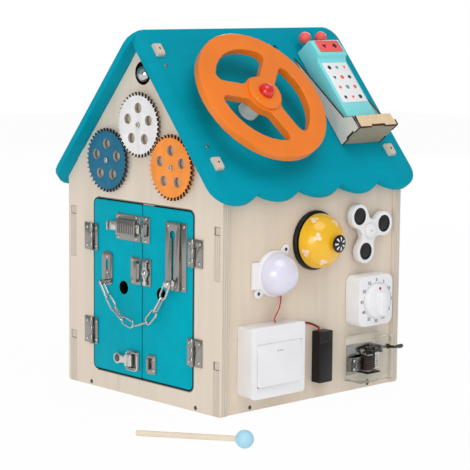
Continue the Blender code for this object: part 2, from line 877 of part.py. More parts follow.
def bolt():
    """Slide bolt on the left door and its strap on the right one."""
    body = screw_plate("bolt_body", -BOLT_MIDDLE - BOLT_WIDTH / 2, BOLT_WIDTH, BOLT_Z, BOLT_HEIGHT)
    left = -BOLT_MIDDLE - COVER_WIDTH / 2
    right = left + COVER_WIDTH
    half = COVER_HEIGHT / 2
    join(body, block("bolt_cover", (left, BOLT_Z - half, GAP), (right, BOLT_Z + half, COVER_RISE), FRONT))
    channel = TONGUE_HEIGHT / 2 + GAP
    floor = GAP + LEAF
    roof_out = floor + TONGUE_THICK + 2 * GAP
    low = (left - OVERRUN, BOLT_Z - channel, floor)
    high = (right + OVERRUN, BOLT_Z + channel, roof_out)
    cut(body, block("bolt_channel", low, high, FRONT))
    dress(body, STEEL, 0.28, 1.0)

    half = TONGUE_HEIGHT / 2
    back = floor + GAP
    low = (-TONGUE_TAIL, BOLT_Z - half, back)
    high = (-TONGUE_TIP, BOLT_Z + half, back + TONGUE_THICK)
    tongue = block("bolt_tongue", low, high, FRONT)
    low = (-TONGUE_TAIL - LEAF, BOLT_Z - half, back)
    high = (-TONGUE_TAIL + LEAF / 2, BOLT_Z + half, back + TAIL_RISE)
    join(tongue, block("bolt_finger_tab", low, high, FRONT))
    dress(tongue, STEEL, 0.28, 1.0)

    keeper = screw_plate("bolt_keeper", KEEPER_LEFT, KEEPER_WIDTH, BOLT_Z, BOLT_HEIGHT)
    left = KEEPER_LEFT + (KEEPER_WIDTH - KEEPER_STRAP) / 2
    window = TONGUE_HEIGHT / 2 + DOOR_CLEAR
    half = window + LEAF
    low = (left, BOLT_Z - half, GAP)
    high = (left + KEEPER_STRAP, BOLT_Z + half, COVER_RISE)
    join(keeper, block("bolt_strap", low, high, FRONT))
    low = (left - OVERRUN, BOLT_Z - window, floor)
    high = (left + KEEPER_STRAP + OVERRUN, BOLT_Z + window, COVER_RISE - LEAF)
    cut(keeper, block("bolt_window", low, high, FRONT))
    dress(keeper, STEEL, 0.28, 1.0)


def knob_height():
    return TRACK_SLOT_LOW + NECK_RADIUS + GAP


def chain_track():
    """Folded plate: a flange by the screws and a raised channel with a keyhole slot."""
    left = TRACK_LEFT
    right = TRACK_LEFT + TRACK_WIDTH
    fold = right - TRACK_FLANGE
    foot = GAP
    under = TRACK_RISE - LEAF
    section = [
        (left, foot),
        (left + LEAF, foot),
        (left + LEAF, under),
        (fold - LEAF, under),
        (fold - LEAF, foot),
        (right, foot),
        (right, foot + LEAF),
        (fold, foot + LEAF),
        (fold, TRACK_RISE),
        (left, TRACK_RISE),
    ]
    down = turn(FRONT, math.pi / 2, "X")
    track = flat("chain_track", [section], -(TRACK_LOW + TRACK_HEIGHT), -TRACK_LOW, down)
    spread = math.acos(TRACK_SLOT_HALF / TRACK_ENTRY_RADIUS) / (math.pi / 2)
    keyhole = arc(TRACK_SLOT_X, TRACK_SLOT_LOW + TRACK_SLOT_HALF, TRACK_SLOT_HALF, 2, 4)
    keyhole += arc(TRACK_SLOT_X, TRACK_ENTRY_Z, TRACK_ENTRY_RADIUS, -spread, 2 + spread, 12)
    cut(track, flat("chain_keyhole", [keyhole], under - OVERRUN / 2, TRACK_RISE + OVERRUN, FRONT))
    dress(track, STEEL, 0.3, 1.0)


def chain_knob():
    """Shoe behind the track, neck in its slot, body, neck through the chain's end link and head."""
    shoe = TRACK_RISE - LEAF - GAP
    body = TRACK_RISE + GAP
    link_back = CHAIN_OUT - CHAIN_WIRE - GAP
    link_front = CHAIN_OUT + CHAIN_WIRE + GAP
    waist = COLLAR_RADIUS * WAIST_share
    profile = [
        (0, link_front + HEAD_THICK),
        (HEAD_RADIUS * WAIST_share, link_front + HEAD_THICK),
        (HEAD_RADIUS, link_front + HEAD_THICK / 2),
        (HEAD_RADIUS * WAIST_share, link_front),
        (NECK_RADIUS, link_front),
        (NECK_RADIUS, link_back),
        (waist, link_back),
        (waist, (body + link_back) / 2),
        (COLLAR_RADIUS, body + LEAF),
        (COLLAR_RADIUS, body),
        (NECK_RADIUS, body),
        (NECK_RADIUS, shoe),
        (SHOE_RADIUS, shoe),
        (SHOE_RADIUS, shoe - SHOE_THICK),
        (0, shoe - SHOE_THICK),
    ]
    knob = turned("chain_knob", profile, at(FRONT, TRACK_SLOT_X, knob_height()), SMALL_SIDES)
    dress(knob, STEEL, 0.22, 1.0)


def hanging_points(start_x, start_z, end_x):
    """Joints between the links, evenly spaced on a curve that hangs from its start to the seam."""
    fine = 200
    route = []
    for i in range(fine + 1):
        share = i / fine
        height = CHAIN_LOW + (start_z - CHAIN_LOW) * (1 - share) ** 2
        route.append(Vector((start_x + (end_x - start_x) * share, height, CHAIN_OUT)))
    lengths = [0.0]
    for before, after in zip(route, route[1:]):
        lengths.append(lengths[-1] + (after - before).length)
    joints = []
    for k in range(CHAIN_LINKS + 1):
        target = lengths[-1] * k / CHAIN_LINKS
        nearest = min(range(fine + 1), key=lambda i: abs(lengths[i] - target))
        joints.append(route[nearest])
    return joints


def chain_link(name, start, end, before, after, upright):
    """One oval link between two joints; an upright link stands square to the door."""
    along = (end - start).normalized()
    across = Vector((0, 0, 1)) if upright else Vector((-along.y, along.x, 0))
    near = start - along * (before - CHAIN_HALF_WIDTH)
    far = end + along * (after - CHAIN_HALF_WIDTH)
    points = []
    for centre, first in ((far, -math.pi / 2), (near, math.pi / 2)):
        for i in range(LINK_STEPS + 1):
            angle = first + math.pi * i / LINK_STEPS
            offset = along * math.cos(angle) + across * math.sin(angle)
            points.append(centre + offset * CHAIN_HALF_WIDTH)
    return wire(name, points, CHAIN_WIRE, FRONT, closed=True, resolution=1)


def chain_half(name, joints, hook, first_upright):
    """Links that hang from their hook towards the seam and hold on to each other."""
    passing = CHAIN_WIRE - CHAIN_FUSE
    chain = None
    for k in range(CHAIN_LINKS):
        before = hook if k == 0 else passing
        after = passing if k < CHAIN_LINKS - 1 else 0.0
        upright = first_upright == (k % 2 == 0)
        label = name if k == 0 else f"{name}_link_{k}"
        link = chain_link(label, joints[k], joints[k + 1], before, after, upright)
        chain = link if k == 0 else join(chain, link)
    return dress(chain, STEEL, 0.25, 1.0)


def chain():
    end = CHAIN_SEAM + CHAIN_WIRE
    joints = hanging_points(STAPLE_X, STAPLE_Z, -end)
    chain_half("chain_left", joints, 2 * CHAIN_WIRE + GAP, True)

    along = (joints[1] - joints[0]).normalized()
    across = Vector((-along.y, along.x, 0)) * STAPLE_HALF
    foot = Vector((STAPLE_X, STAPLE_Z, GAP + LEAF / 2))
    top = Vector((STAPLE_X, STAPLE_Z, CHAIN_OUT))
    left = ANCHOR_X - ANCHOR_WIDTH / 2
    edge = rounded(left, left + ANCHOR_WIDTH, ANCHOR_LOW, ANCHOR_LOW + ANCHOR_HEIGHT, ANCHOR_ROUND)
    hole = arc(ANCHOR_X, ANCHOR_HOLE_HIGH, ANCHOR_HOLE_HALF, 0, 2)
    hole += arc(ANCHOR_X, ANCHOR_HOLE_LOW, ANCHOR_HOLE_HALF, 2, 4)
    anchor = flat("chain_anchor", [edge, hole], GAP, GAP + LEAF, FRONT)
    staple = [foot + across, top + across, top - across, foot - across]
    join(anchor, wire("chain_staple", staple, CHAIN_WIRE, FRONT))
    dress(anchor, STEEL, 0.3, 1.0)

    joints = hanging_points(TRACK_SLOT_X, knob_height(), end)
    chain_half("chain_right", joints, NECK_RADIUS + CHAIN_WIRE + GAP, False)
    chain_track()
    chain_knob()


def turn_latch():
    """Hook that turns on a post and swings under a bridge on the other door."""
    under = GAP + LEAF + LATCH_BOSS
    hook_back = under + GAP
    hook_front = hook_back + LATCH_ARM_THICK
    cap = hook_front + GAP
    left = LATCH_X - LATCH_BASE_WIDTH / 2
    base = screw_plate("latch_base", left, LATCH_BASE_WIDTH, LATCH_Z, LATCH_HEIGHT)
    profile = [
        (0, LATCH_CAP_TOP),
        (LATCH_CAP_RADIUS * WAIST_share, LATCH_CAP_TOP),
        (LATCH_CAP_RADIUS, (LATCH_CAP_TOP + cap) / 2),
        (LATCH_CAP_RADIUS, cap),
        (LATCH_POST, cap),
        (LATCH_POST, under),
        (LATCH_CAP_RADIUS, under),
        (LATCH_CAP_RADIUS, GAP + LEAF / 2),
        (0, GAP + LEAF / 2),
    ]
    join(base, turned("latch_post", profile, at(FRONT, LATCH_X, LATCH_Z), SMALL_SIDES))
    dress(base, STEEL, 0.3, 1.0)

    bulb = LATCH_ARM_HALF
    tip = LATCH_REACH - LATCH_ARM_HALF
    outline = arc(0, bulb - LATCH_TAIL, bulb, 4 / 3, 14 / 3, 12)
    outline += arc(0, 0, LATCH_HUB, -2 / 3, 2 / 3, 6)
    outline += arc(0, tip, LATCH_ARM_HALF, 0, 2, 8)
    outline += arc(0, 0, LATCH_HUB, 4 / 3, 8 / 3, 6)
    bore = circle(0, 0, LATCH_POST + GAP)
    hook = flat("latch_hook", [outline, bore], hook_back, hook_front, at(FRONT, LATCH_X, LATCH_Z))
    dress(hook, STEEL, 0.25, 1.0)

    eye = screw_plate("latch_eye", EYE_LEFT, EYE_RIGHT - EYE_LEFT, LATCH_Z, LATCH_HEIGHT)
    right = BRIDGE_LEFT + BRIDGE_WIDTH
    half = BRIDGE_HALF
    window = BRIDGE_HALF - BRIDGE_LEG
    low = (BRIDGE_LEFT, LATCH_Z - half, GAP)
    join(eye, block("latch_bridge", low, (right, LATCH_Z + half, BRIDGE_TOP), FRONT))
    low = (BRIDGE_LEFT - OVERRUN, LATCH_Z - window, GAP + LEAF)
    high = (right + OVERRUN, LATCH_Z + window, BRIDGE_TOP - LEAF)
    cut(eye, block("latch_window", low, high, FRONT))
    dress(eye, STEEL, 0.3, 1.0)


def toggle_latch():
    """Over-centre latch: a lever on two ears, the wire loop that it pulls and a hooked keeper."""
    width = TOGGLE_BASE_RIGHT - TOGGLE_BASE_LEFT
    base = screw_plate("toggle_base", TOGGLE_BASE_LEFT, width, TOGGLE_Z, 2 * TOGGLE_BASE_HALF)
    down = turn(FRONT, math.pi / 2, "X")
    x = TOGGLE_PIVOT_X
    ear = [(x - EAR_RADIUS, GAP), (x + EAR_RADIUS, GAP)] + arc(x, TOGGLE_PIVOT_OUT, EAR_RADIUS, 0, 2, 8)
    for side in (-1, 1):
        ends = sorted((side * EAR_HALF - TOGGLE_Z, side * (EAR_HALF - EAR_THICK) - TOGGLE_Z))
        join(base, flat(f"toggle_ear_{side}", [ear], ends[0], ends[1], down))
    reach = EAR_HALF - EAR_THICK / 2
    pivot = at(down, x, TOGGLE_PIVOT_OUT, -TOGGLE_Z)
    join(base, pin("toggle_pin", TOGGLE_PIN, -reach, reach, pivot, 12))
    dress(base, STEEL, 0.3, 1.0)

    back = TOGGLE_PIVOT_OUT + GAP
    half = LEVER_HALF
    edge = arc(LEVER_END + half, TOGGLE_Z, half, 1, 3, 10)
    edge += [(x, TOGGLE_Z - half), (x, TOGGLE_Z + half)]
    lever = flat("toggle_lever", [edge], back, back + LEVER_THICK, FRONT)
    loop_axis = at(down, LOOP_PIVOT_X, LOOP_PIVOT_OUT, -TOGGLE_Z)
    long = half + OVERRUN
    join(lever, pin("lever_barrel", BARREL_RADIUS, -half + GAP, half - GAP, pivot))
    join(lever, pin("loop_barrel", BARREL_RADIUS, -half + GAP, half - GAP, loop_axis))
    cut(lever, pin("lever_bore", TOGGLE_PIN + GAP, -long, long, pivot, 12))
    cut(lever, pin("loop_bore", LOOP_WIRE + GAP, -long, long, loop_axis, 12))
    dress(lever, STEEL, 0.22, 1.0)
    parent_to_pivot(lever, "toggle_lever_pivot", pivot)

    corner = LOOP_WIRE + GAP
    low = TOGGLE_Z - LOOP_HALF
    high = TOGGLE_Z + LOOP_HALF
    route = rounded(LOOP_PIVOT_X, LOOP_RIGHT, low, high, corner)
    route = [(px, pz, LOOP_PIVOT_OUT) for px, pz in route]
    loop = wire("toggle_loop", route, LOOP_WIRE, FRONT, closed=True, resolution=1)
    dress(loop, STEEL, 0.25, 1.0)
    parent_to_pivot(loop, "toggle_loop_pivot", loop_axis)

    keeper = screw_plate(
        "toggle_keeper", TOGGLE_KEEPER_LEFT, TOGGLE_KEEPER_WIDTH, TOGGLE_Z, 2 * TOGGLE_KEEPER_HALF
    )
    left = TOGGLE_KEEPER_LEFT + 2 * LEAF
    right = left + TOGGLE_KEEPER_WIDTH / 4
    lip = [
        (left, GAP),
        (left + LEAF, GAP),
        (left + LEAF, LIP_RISE - 2 * LEAF),
        (right, LIP_RISE - LEAF),
        (right, LIP_RISE),
        (left, LIP_RISE - LEAF / 2),
    ]
    join(keeper, flat("toggle_lip", [lip], -TOGGLE_Z - LIP_HALF, -TOGGLE_Z + LIP_HALF, down))
    dress(keeper, STEEL, 0.3, 1.0)


def gear_outline(phase):
    """Pointed teeth round the rim."""
    pitch = math.tau / GEAR_TEETH
    root = pitch * ROOT_WIDTH_share / 2
    points = []
    for k in range(GEAR_TEETH):
        middle = phase + pitch * k
        for radius, offset in ((GEAR_ROOT, -root), (GEAR_OUTER, 0), (GEAR_ROOT, root)):
            angle = middle + offset
            points.append((radius * math.cos(angle), radius * math.sin(angle)))
    return points


def gears():
    """Three meshing gears: each neighbour's teeth stand in the gaps of the white one."""
    colours = {"gear_white": WHITE, "gear_blue": BLUE, "gear_orange": ORANGE}
    top = gear_centres()["gear_white"]
    half_pitch = math.pi / GEAR_TEETH
    for name, (x, z) in gear_centres().items():
        phase = 0.0
        if (x, z) != top:
            phase = half_pitch + math.pi + 2 * math.atan2(z - top[1], x - top[0])
        holes = [circle(0, 0, GEAR_BORE, 10)]
        for k in range(GEAR_HOLES):
            angle = math.pi / 2 + math.tau * k / GEAR_HOLES
            centre = (GEAR_HOLE_CIRCLE * math.cos(angle), GEAR_HOLE_CIRCLE * math.sin(angle))
            holes.append(circle(*centre, GEAR_HOLE_RADIUS, 10))
        outline = gear_outline(phase)
        gear = flat(name, [outline] + holes, GEAR_BACK, GEAR_BACK + GEAR_THICK, at(FRONT, x, z))
        dress(gear, colours[name], 0.4)


def half_circle(radius, steps, start=0.0):
    """Profile of a ball, top to bottom, from an angle off the top."""
    angles = [start + (math.pi - start) * i / steps for i in range(steps + 1)]
    return [(abs(radius * math.sin(a)), radius * math.cos(a)) for a in angles]


def jingle_bell():
    """Round bell with a slotted mouth, hung by its eye on a pin across the hole."""
    pivot = at(FRONT, 0, JINGLE_PIN_Z, -PLY / 2)
    upright = turn(at(FRONT, 0, BELL_HOLE_Z - JINGLE_DROP, -PLY / 2), -math.pi / 2, "X")
    ball = half_circle(JINGLE_RADIUS, 8)
    ball[0] = (0, JINGLE_RADIUS)
    ball[-1] = (0, -JINGLE_RADIUS)
    bell = turned("jingle_bell", ball, upright, 16)
    angles = [math.tau * i / 10 for i in range(10)]
    ring = [(0, JINGLE_EYE * math.cos(a), JINGLE_EYE * math.sin(a)) for a in angles]
    join(bell, wire("jingle_eye", ring, JINGLE_EYE_WIRE, pivot, closed=True, resolution=1))
    half = JINGLE_SLOT / 2
    low = (-JINGLE_RADIUS - OVERRUN, -half, -JINGLE_RADIUS - OVERRUN)
    high = (JINGLE_RADIUS + OVERRUN, half, -JINGLE_RADIUS / 2)
    cut(bell, block("jingle_slot", low, high, upright))
    dress(bell, STEEL, 0.25, 1.0)
    parent_to_pivot(bell, "jingle_pivot", pivot)


def spoke_gap(start):
    """Opening between two spokes: rim arc, hub arc and four rounded corners."""
    third = 4 / SPOKES
    quarter = math.pi / 2
    offset = SPOKE_HALF + SPOKE_ROUND
    outer = WHEEL_INNER - SPOKE_ROUND
    inner = WHEEL_HUB + SPOKE_ROUND
    rim = math.asin(offset / outer) / quarter
    hub = math.asin(offset / inner) / quarter
    end = start + third
    points = []
    for reach, angle, first, last in (
        (outer, start + rim, start - 1, start + rim),
        (outer, end - rim, end - rim, end + 1),
        (inner, end - hub, end + 1, end + 2 - hub),
        (inner, start + hub, start + 2 + hub, start + 3),
    ):
        x = reach * math.cos(angle * quarter)
        y = reach * math.sin(angle * quarter)
        points.append(arc(x, y, SPOKE_ROUND, first, last, 3))
    far, next_far, near, next_near = points
    rim_arc = arc(0, 0, WHEEL_INNER, start + rim, end - rim, 8)[1:-1]
    hub_arc = arc(0, 0, WHEEL_HUB, end - hub, start + hub, 4)[1:-1]
    return far + rim_arc + next_far + near + hub_arc + next_near


def steering_wheel():
    """Spoked wheel on a short axle over a wooden stand-off, with a horn button in its hub."""
    frame = at(ROOF_RIGHT, WHEEL_REACH, WHEEL_SIDE)
    under = WHEEL_TOP - WHEEL_THICK
    boss = WHEEL_TOP + BOSS_RISE
    seat = boss - HORN_SEAT_DEPTH
    gaps = [spoke_gap((SPOKE_FIRST + math.tau * k / SPOKES) / (math.pi / 2)) for k in range(SPOKES)]
    outlines = [circle(0, 0, WHEEL_OUTER, 40)] + gaps
    wheel = bevel(flat("steering_wheel", outlines, under, WHEEL_TOP, frame), WHEEL_EDGE, 1)
    profile = [
        (0, boss),
        (BOSS_RADIUS - BOSS_EDGE, boss),
        (BOSS_RADIUS, boss - BOSS_EDGE),
        (BOSS_RADIUS, WHEEL_TOP - WHEEL_THICK / 2),
        (0, WHEEL_TOP - WHEEL_THICK / 2),
    ]
    join(wheel, turned("wheel_boss", profile, frame, 24))
    cut(wheel, pin("wheel_bore", AXLE_RADIUS + GAP, under - OVERRUN, seat + GAP, frame, 20))
    cut(wheel, pin("horn_well", HORN_RADIUS + GAP, seat, boss + OVERRUN, frame, 24))
    dress(wheel, ORANGE, 0.35)

    profile = [
        (0, seat - GAP),
        (AXLE_RADIUS, seat - GAP),
        (AXLE_RADIUS, under - GAP),
        (STANDOFF_RADIUS, under - GAP),
        (STANDOFF_RADIUS, GAP),
        (0, GAP),
    ]
    dress(turned("wheel_hub", profile, frame, 24), BIRCH, 0.55)

    foot = seat + HORN_TRAVEL + GAP
    rim = boss + BOSS_EDGE / 4
    dome = boss + HORN_DOME - rim
    rise = [math.pi / 2 * i / 5 for i in range(6)]
    profile = [(HORN_RADIUS * math.sin(a), rim + dome * math.cos(a)) for a in rise]
    profile += [(HORN_RADIUS, foot), (0, foot)]
    dress(turned("horn_button", profile, frame, 24), RED, 0.2)


def phone_tray():
    """Plywood tray: two tapered cheeks, a foot board square to the roof and a lip over it."""
    up = turn(ROOF_RIGHT, math.pi / 2, "X")
    cheek = [
        (TRAY_TIP, GAP),
        (TRAY_FOOT, GAP),
        (TRAY_FOOT, TRAY_RISE),
        (TRAY_SHOULDER, TRAY_RISE - LEAF),
        (TRAY_BEND, TRAY_BEND_RISE),
    ]
    half = TRAY_WIDTH / 2
    near = -TRAY_SIDE - half
    far = -TRAY_SIDE + half
    tray = flat("phone_holder", [cheek], near, near + TRAY_PLY, up)
    join(tray, flat("tray_cheek", [cheek], far - TRAY_PLY, far, up))
    inset = TRAY_PLY / 2
    low = (foot_face(), TRAY_SIDE - half + inset, 2 * GAP)
    high = (foot_face() + TRAY_PLY, TRAY_SIDE + half - inset, TRAY_RISE - TRAY_EDGE)
    foot = block("tray_foot", low, high, ROOF_RIGHT)
    low = (TRAY_SHOULDER + TRAY_EDGE, TRAY_SIDE - half + inset, TRAY_RISE - LEAF - TRAY_EDGE - TRAY_PLY)
    high = (foot_face() + TRAY_PLY / 2, TRAY_SIDE + half - inset, TRAY_RISE - LEAF - TRAY_EDGE)
    lip = block("tray_lip", low, high, ROOF_RIGHT)
    join(tray, foot, lip)
    dress(tray, BIRCH, 0.6)


def foot_face():
    """Where the phone's lower end rests in the tray."""
    return TRAY_FOOT - TRAY_EDGE - TRAY_PLY


def phone():
    """Toy telephone with a raised slanting head, a display, a keypad plate and two balls."""
    up = turn(ROOF_RIGHT, math.pi / 2, "X")
    low = foot_face() - GAP
    soft = PHONE_ROUND / 2
    side = [
        (PHONE_TOP, PHONE_BACK),
        (low, PHONE_BACK),
        (low, PHONE_FACE - soft),
        (low - soft, PHONE_FACE),
        (KEYPAD_TOP, PHONE_FACE),
        (PHONE_HEAD_END, PHONE_HEAD_FACE - soft / 2),
        (PHONE_HEAD_END - soft, PHONE_HEAD_FACE),
        (PHONE_TOP + soft, PHONE_HEAD_FACE - soft / 2),
        (PHONE_TOP, PHONE_HEAD_FACE - 2 * soft),
    ]
    half = PHONE_WIDTH / 2
    body = flat("phone", [side[::-1]], -TRAY_SIDE - half, -TRAY_SIDE + half, up)
    bevel(body, LEAF, 1)
    pad = KEYPAD_WIDTH / 2
    pad_low = (KEYPAD_TOP + soft, TRAY_SIDE - pad, PHONE_FACE - soft)
    pad_high = (KEYPAD_LOW, TRAY_SIDE + pad, PHONE_FACE + KEYPAD_RISE)
    join(body, block("phone_keypad", pad_low, pad_high, ROOF_RIGHT))
    screen = DISPLAY_WIDTH / 2
    screen_low = (DISPLAY_TOP + soft, TRAY_SIDE - screen, PHONE_FACE)
    screen_high = (DISPLAY_LOW, TRAY_SIDE + screen, PHONE_HEAD_FACE + KEYPAD_RISE)
    join(body, block("phone_display", screen_low, screen_high, ROOF_RIGHT))
    for sign in (-1, 1):
        y = TRAY_SIDE + sign * BALL_SPREAD
        centre = at(ROOF_RIGHT, BALL_REACH, y, BALL_RISE)
        ball = half_circle(BALL_RADIUS, 6)
        ball[0] = (0, BALL_RADIUS)
        ball[-1] = (0, -BALL_RADIUS)
        join(body, turned(f"phone_ball_{sign}", ball, centre, 12))
        stem = turn(centre, math.pi / 2, "Y")
        join(body, pin(f"phone_stem_{sign}", BALL_STEM, 0, PHONE_TOP - BALL_REACH + PHONE_ROUND, stem, 8))
    dress(body, PHONE_TEAL, 0.35)


def push_light():
    """Dome lamp on a round base with two screw ears and a side tab."""
    frame = at(SIDE, LIGHT_Y, LIGHT_Z)
    top = LIGHT_BASE_THICK
    profile = [
        (0, top),
        (LIGHT_BASE_RADIUS - LIGHT_RIM / 2, top),
        (LIGHT_BASE_RADIUS, top - LIGHT_RIM / 2),
        (LIGHT_BASE_RADIUS, GAP),
        (0, GAP),
    ]
    base = turned("light_base", profile, frame, 24)
    for k, angle in enumerate((LIGHT_EAR_FIRST, LIGHT_EAR_FIRST + LIGHT_EAR_TURN)):
        ear = arc(LIGHT_EAR_REACH, 0, LIGHT_EAR_RADIUS, -1, 1, 8)
        ear += [(LIGHT_BASE_RADIUS / 2, LIGHT_EAR_RADIUS), (LIGHT_BASE_RADIUS / 2, -LIGHT_EAR_RADIUS)]
        join(base, flat(f"light_ear_{k}", [ear], GAP * 2, LIGHT_EAR_THICK, turn(frame, angle)))
    low = (-LIGHT_TAB_REACH, -LIGHT_TAB_HALF, 2 * GAP)
    join(base, block("light_tab", low, (0, LIGHT_TAB_HALF, LIGHT_BASE_THICK - LIGHT_RIM / 2), frame))
    dress(base, WHITE, 0.35)

    low = LIGHT_BASE_THICK + GAP
    angles = [math.pi / 2 * i / 6 for i in range(7)]
    profile = [(LIGHT_RADIUS * math.sin(a), low + LIGHT_RADIUS * math.cos(a)) for a in angles]
    profile.append((0, low))
    dress(turned("light_dome", profile, frame, 24), WHITE, 0.2)


def call_bell():
    """Desk bell: base with its post, hollow dome and plunger."""
    frame = at(SIDE, CALL_Y, CALL_Z)
    height = CALL_DOME_TOP - CALL_DOME_LOW
    hole = CALL_POST + GAP
    post_top = PLUNGER_TOP - PLUNGER_CAP - PLUNGER_TRAVEL - GAP
    shoulder = CALL_DOME_TOP - CALL_WALL - 2 * GAP - CALL_WALL * WAIST_share
    bore = PLUNGER_STEM + GAP
    bottom = shoulder - PLUNGER_TRAVEL
    profile = [
        (0, bottom - GAP),
        (bore, bottom - GAP),
        (bore, post_top),
        (CALL_POST, post_top),
        (CALL_POST, shoulder),
        (2 * CALL_POST, shoulder),
        (2 * CALL_POST, CALL_BASE_THICK),
        (CALL_BASE_RADIUS - CALL_WALL, CALL_BASE_THICK),
        (CALL_BASE_RADIUS, CALL_BASE_THICK - CALL_WALL),
        (CALL_BASE_RADIUS, GAP),
        (0, GAP),
    ]
    dress(turned("bell_base", profile, frame, 24), BLACK, 0.4)

    def shell(radius, rise, outward):
        first = math.asin(hole / radius)
        angles = [first + (math.pi / 2 - first) * i / 6 for i in range(7)]
        points = [(radius * math.sin(a), CALL_DOME_LOW + rise * math.cos(a)) for a in angles]
        points[0] = (hole, points[0][1])
        return points if outward else points[::-1]

    outer = shell(CALL_DOME_RADIUS, height, True)
    inner = shell(CALL_DOME_RADIUS - CALL_WALL, height - CALL_WALL, False)
    dress(turned("bell_dome", outer + inner, frame, 24, ring=True), YELLOW, 0.3)

    cap = PLUNGER_TOP - PLUNGER_CAP
    angles = [math.pi / 2 * i / 4 for i in range(5)]
    profile = [(PLUNGER_RADIUS * math.sin(a), cap + PLUNGER_CAP * math.cos(a)) for a in angles]
    profile[-1] = (PLUNGER_RADIUS, cap + PLUNGER_CAP / 4)
    foot = bottom + PLUNGER_TRAVEL
    profile += [(PLUNGER_RADIUS, cap), (PLUNGER_STEM, cap), (PLUNGER_STEM, foot), (0, foot)]
    dress(turned("bell_plunger", profile, frame, 20), STEEL, 0.25, 1.0)


def spinner():
    """Three round lobes with hollow waists between them, turning on a spindle."""
    frame = at(SIDE, SPINNER_Y, SPINNER_Z)
    step = math.tau / SPINNER_LOBES
    joined = SPINNER_LOBE + SPINNER_FILLET
    half_cos = SPINNER_REACH * math.cos(step / 2)
    far = half_cos + math.sqrt(joined**2 - SPINNER_REACH**2 + half_cos**2)
    outline = []
    for k in range(SPINNER_LOBES):
        middle = SPINNER_FIRST + step * k
        lobe = Vector((math.cos(middle), math.sin(middle))) * SPINNER_REACH
        after = Vector((math.cos(middle + step / 2), math.sin(middle + step / 2))) * far
        before = Vector((math.cos(middle - step / 2), math.sin(middle - step / 2))) * far
        first = math.atan2(*(before - lobe).yx)
        last = math.atan2(*(after - lobe).yx)
        while last < first:
            last += math.tau
        quarter = math.pi / 2
        outline += arc(*lobe, SPINNER_LOBE, first / quarter, last / quarter, 10)
        following = Vector((math.cos(middle + step), math.sin(middle + step))) * SPINNER_REACH
        start = math.atan2(*(lobe - after).yx)
        end = math.atan2(*(following - after).yx)
        while end > start:
            end -= math.tau
        outline += arc(*after, SPINNER_FILLET, start / quarter, end / quarter, 4)[1:-1]
    front = SPINNER_BACK + SPINNER_THICK
    body = flat("spinner_body", [outline, circle(0, 0, SPINNER_BORE)], SPINNER_BACK, front, frame)
    for k in range(SPINNER_LOBES):
        lobe = at(turn(frame, SPINNER_FIRST + step * k), SPINNER_REACH, 0)
        sink = front - SPINNER_DISC_SINK
        cut(body, pin(f"spinner_recess_{k}", SPINNER_DISC, sink, front + OVERRUN, lobe, 16))
    dress(body, WHITE, 0.3)

    shaft = SPINNER_BORE - GAP
    profile = [
        (0, front + GAP + SPINNER_CAP_THICK),
        (SPINNER_CAP - SPINNER_CAP_THICK / 2, front + GAP + SPINNER_CAP_THICK),
        (SPINNER_CAP, front + GAP + SPINNER_CAP_THICK / 2),
        (SPINNER_CAP, front + GAP),
        (shaft, front + GAP),
        (shaft, SPINNER_BACK - GAP),
        (SPINNER_FOOT, SPINNER_BACK - GAP),
        (SPINNER_FOOT, GAP),
        (0, GAP),
    ]
    dress(turned("spinner_axle", profile, frame, 24), BIRCH, 0.5)


def timer():
    """Square timer case with a dial that carries a grip bar."""
    x = TIMER_WIDTH / 2
    y = TIMER_HEIGHT / 2
    frame = at(SIDE, TIMER_Y, TIMER_Z)
    body = flat("timer_body", [rounded(-x, x, -y, y, TIMER_ROUND)], GAP, TIMER_DEPTH, frame)
    dress(bevel(body, TIMER_EDGE, 1), WHITE, 0.35)
    low = TIMER_DEPTH + GAP
    high = low + TIMER_DIAL_THICK
    profile = [
        (0, high),
        (TIMER_DIAL - TIMER_EDGE / 2, high),
        (TIMER_DIAL, high - TIMER_EDGE / 2),
        (TIMER_DIAL, low),
        (0, low),
    ]
    knob = turned("timer_knob", profile, frame, 24)
    reach = TIMER_DIAL - TIMER_EDGE
    grip = rounded(-TIMER_GRIP_HALF, TIMER_GRIP_HALF, -reach, reach, TIMER_GRIP_HALF - GAP)
    join(knob, flat("timer_grip", [grip], high - TIMER_EDGE, high + TIMER_GRIP_RISE, frame))
    dress(knob, WHITE, 0.35)


def switch():
    """Wall switch: back box, face plate with a well and a wide rocker."""
    frame = at(SIDE, SWITCH_Y, SWITCH_Z)
    half = SWITCH_SIZE / 2
    inset = half - SWITCH_STEP
    face = SWITCH_BOX_DEPTH + SWITCH_PLATE
    outline = rounded(-inset, inset, -inset, inset, SWITCH_ROUND)
    box = flat("switch_box", [outline], GAP, face - LEAF, frame)
    plate = rounded(-half, half, -half, half, SWITCH_ROUND)
    join(box, bevel(flat("switch_plate", [plate], SWITCH_BOX_DEPTH, face, frame), LEAF, 1))
    middle = at(frame, 0, -ROCKER_DROP)
    across = ROCKER_WIDTH / 2
    rise = ROCKER_HEIGHT / 2
    low = (-across - ROCKER_CLEAR, -rise - ROCKER_CLEAR, face - ROCKER_WELL)
    high = (across + ROCKER_CLEAR, rise + ROCKER_CLEAR, face + OVERRUN)
    cut(box, block("switch_well", low, high, middle))
    dress(box, WHITE, 0.3)

    floor = face - ROCKER_WELL + rise * math.sin(ROCKER_TILT) + ROCKER_CLEAR
    tilted = turn(at(middle, 0, 0, floor), -ROCKER_TILT, "X")
    outline = rounded(-across, across, -rise, rise, SWITCH_ROUND / 2)
    rocker = flat("switch_rocker", [outline], 0, ROCKER_THICK, tilted)
    dress(bevel(rocker, LEAF, 1), WHITE, 0.25)


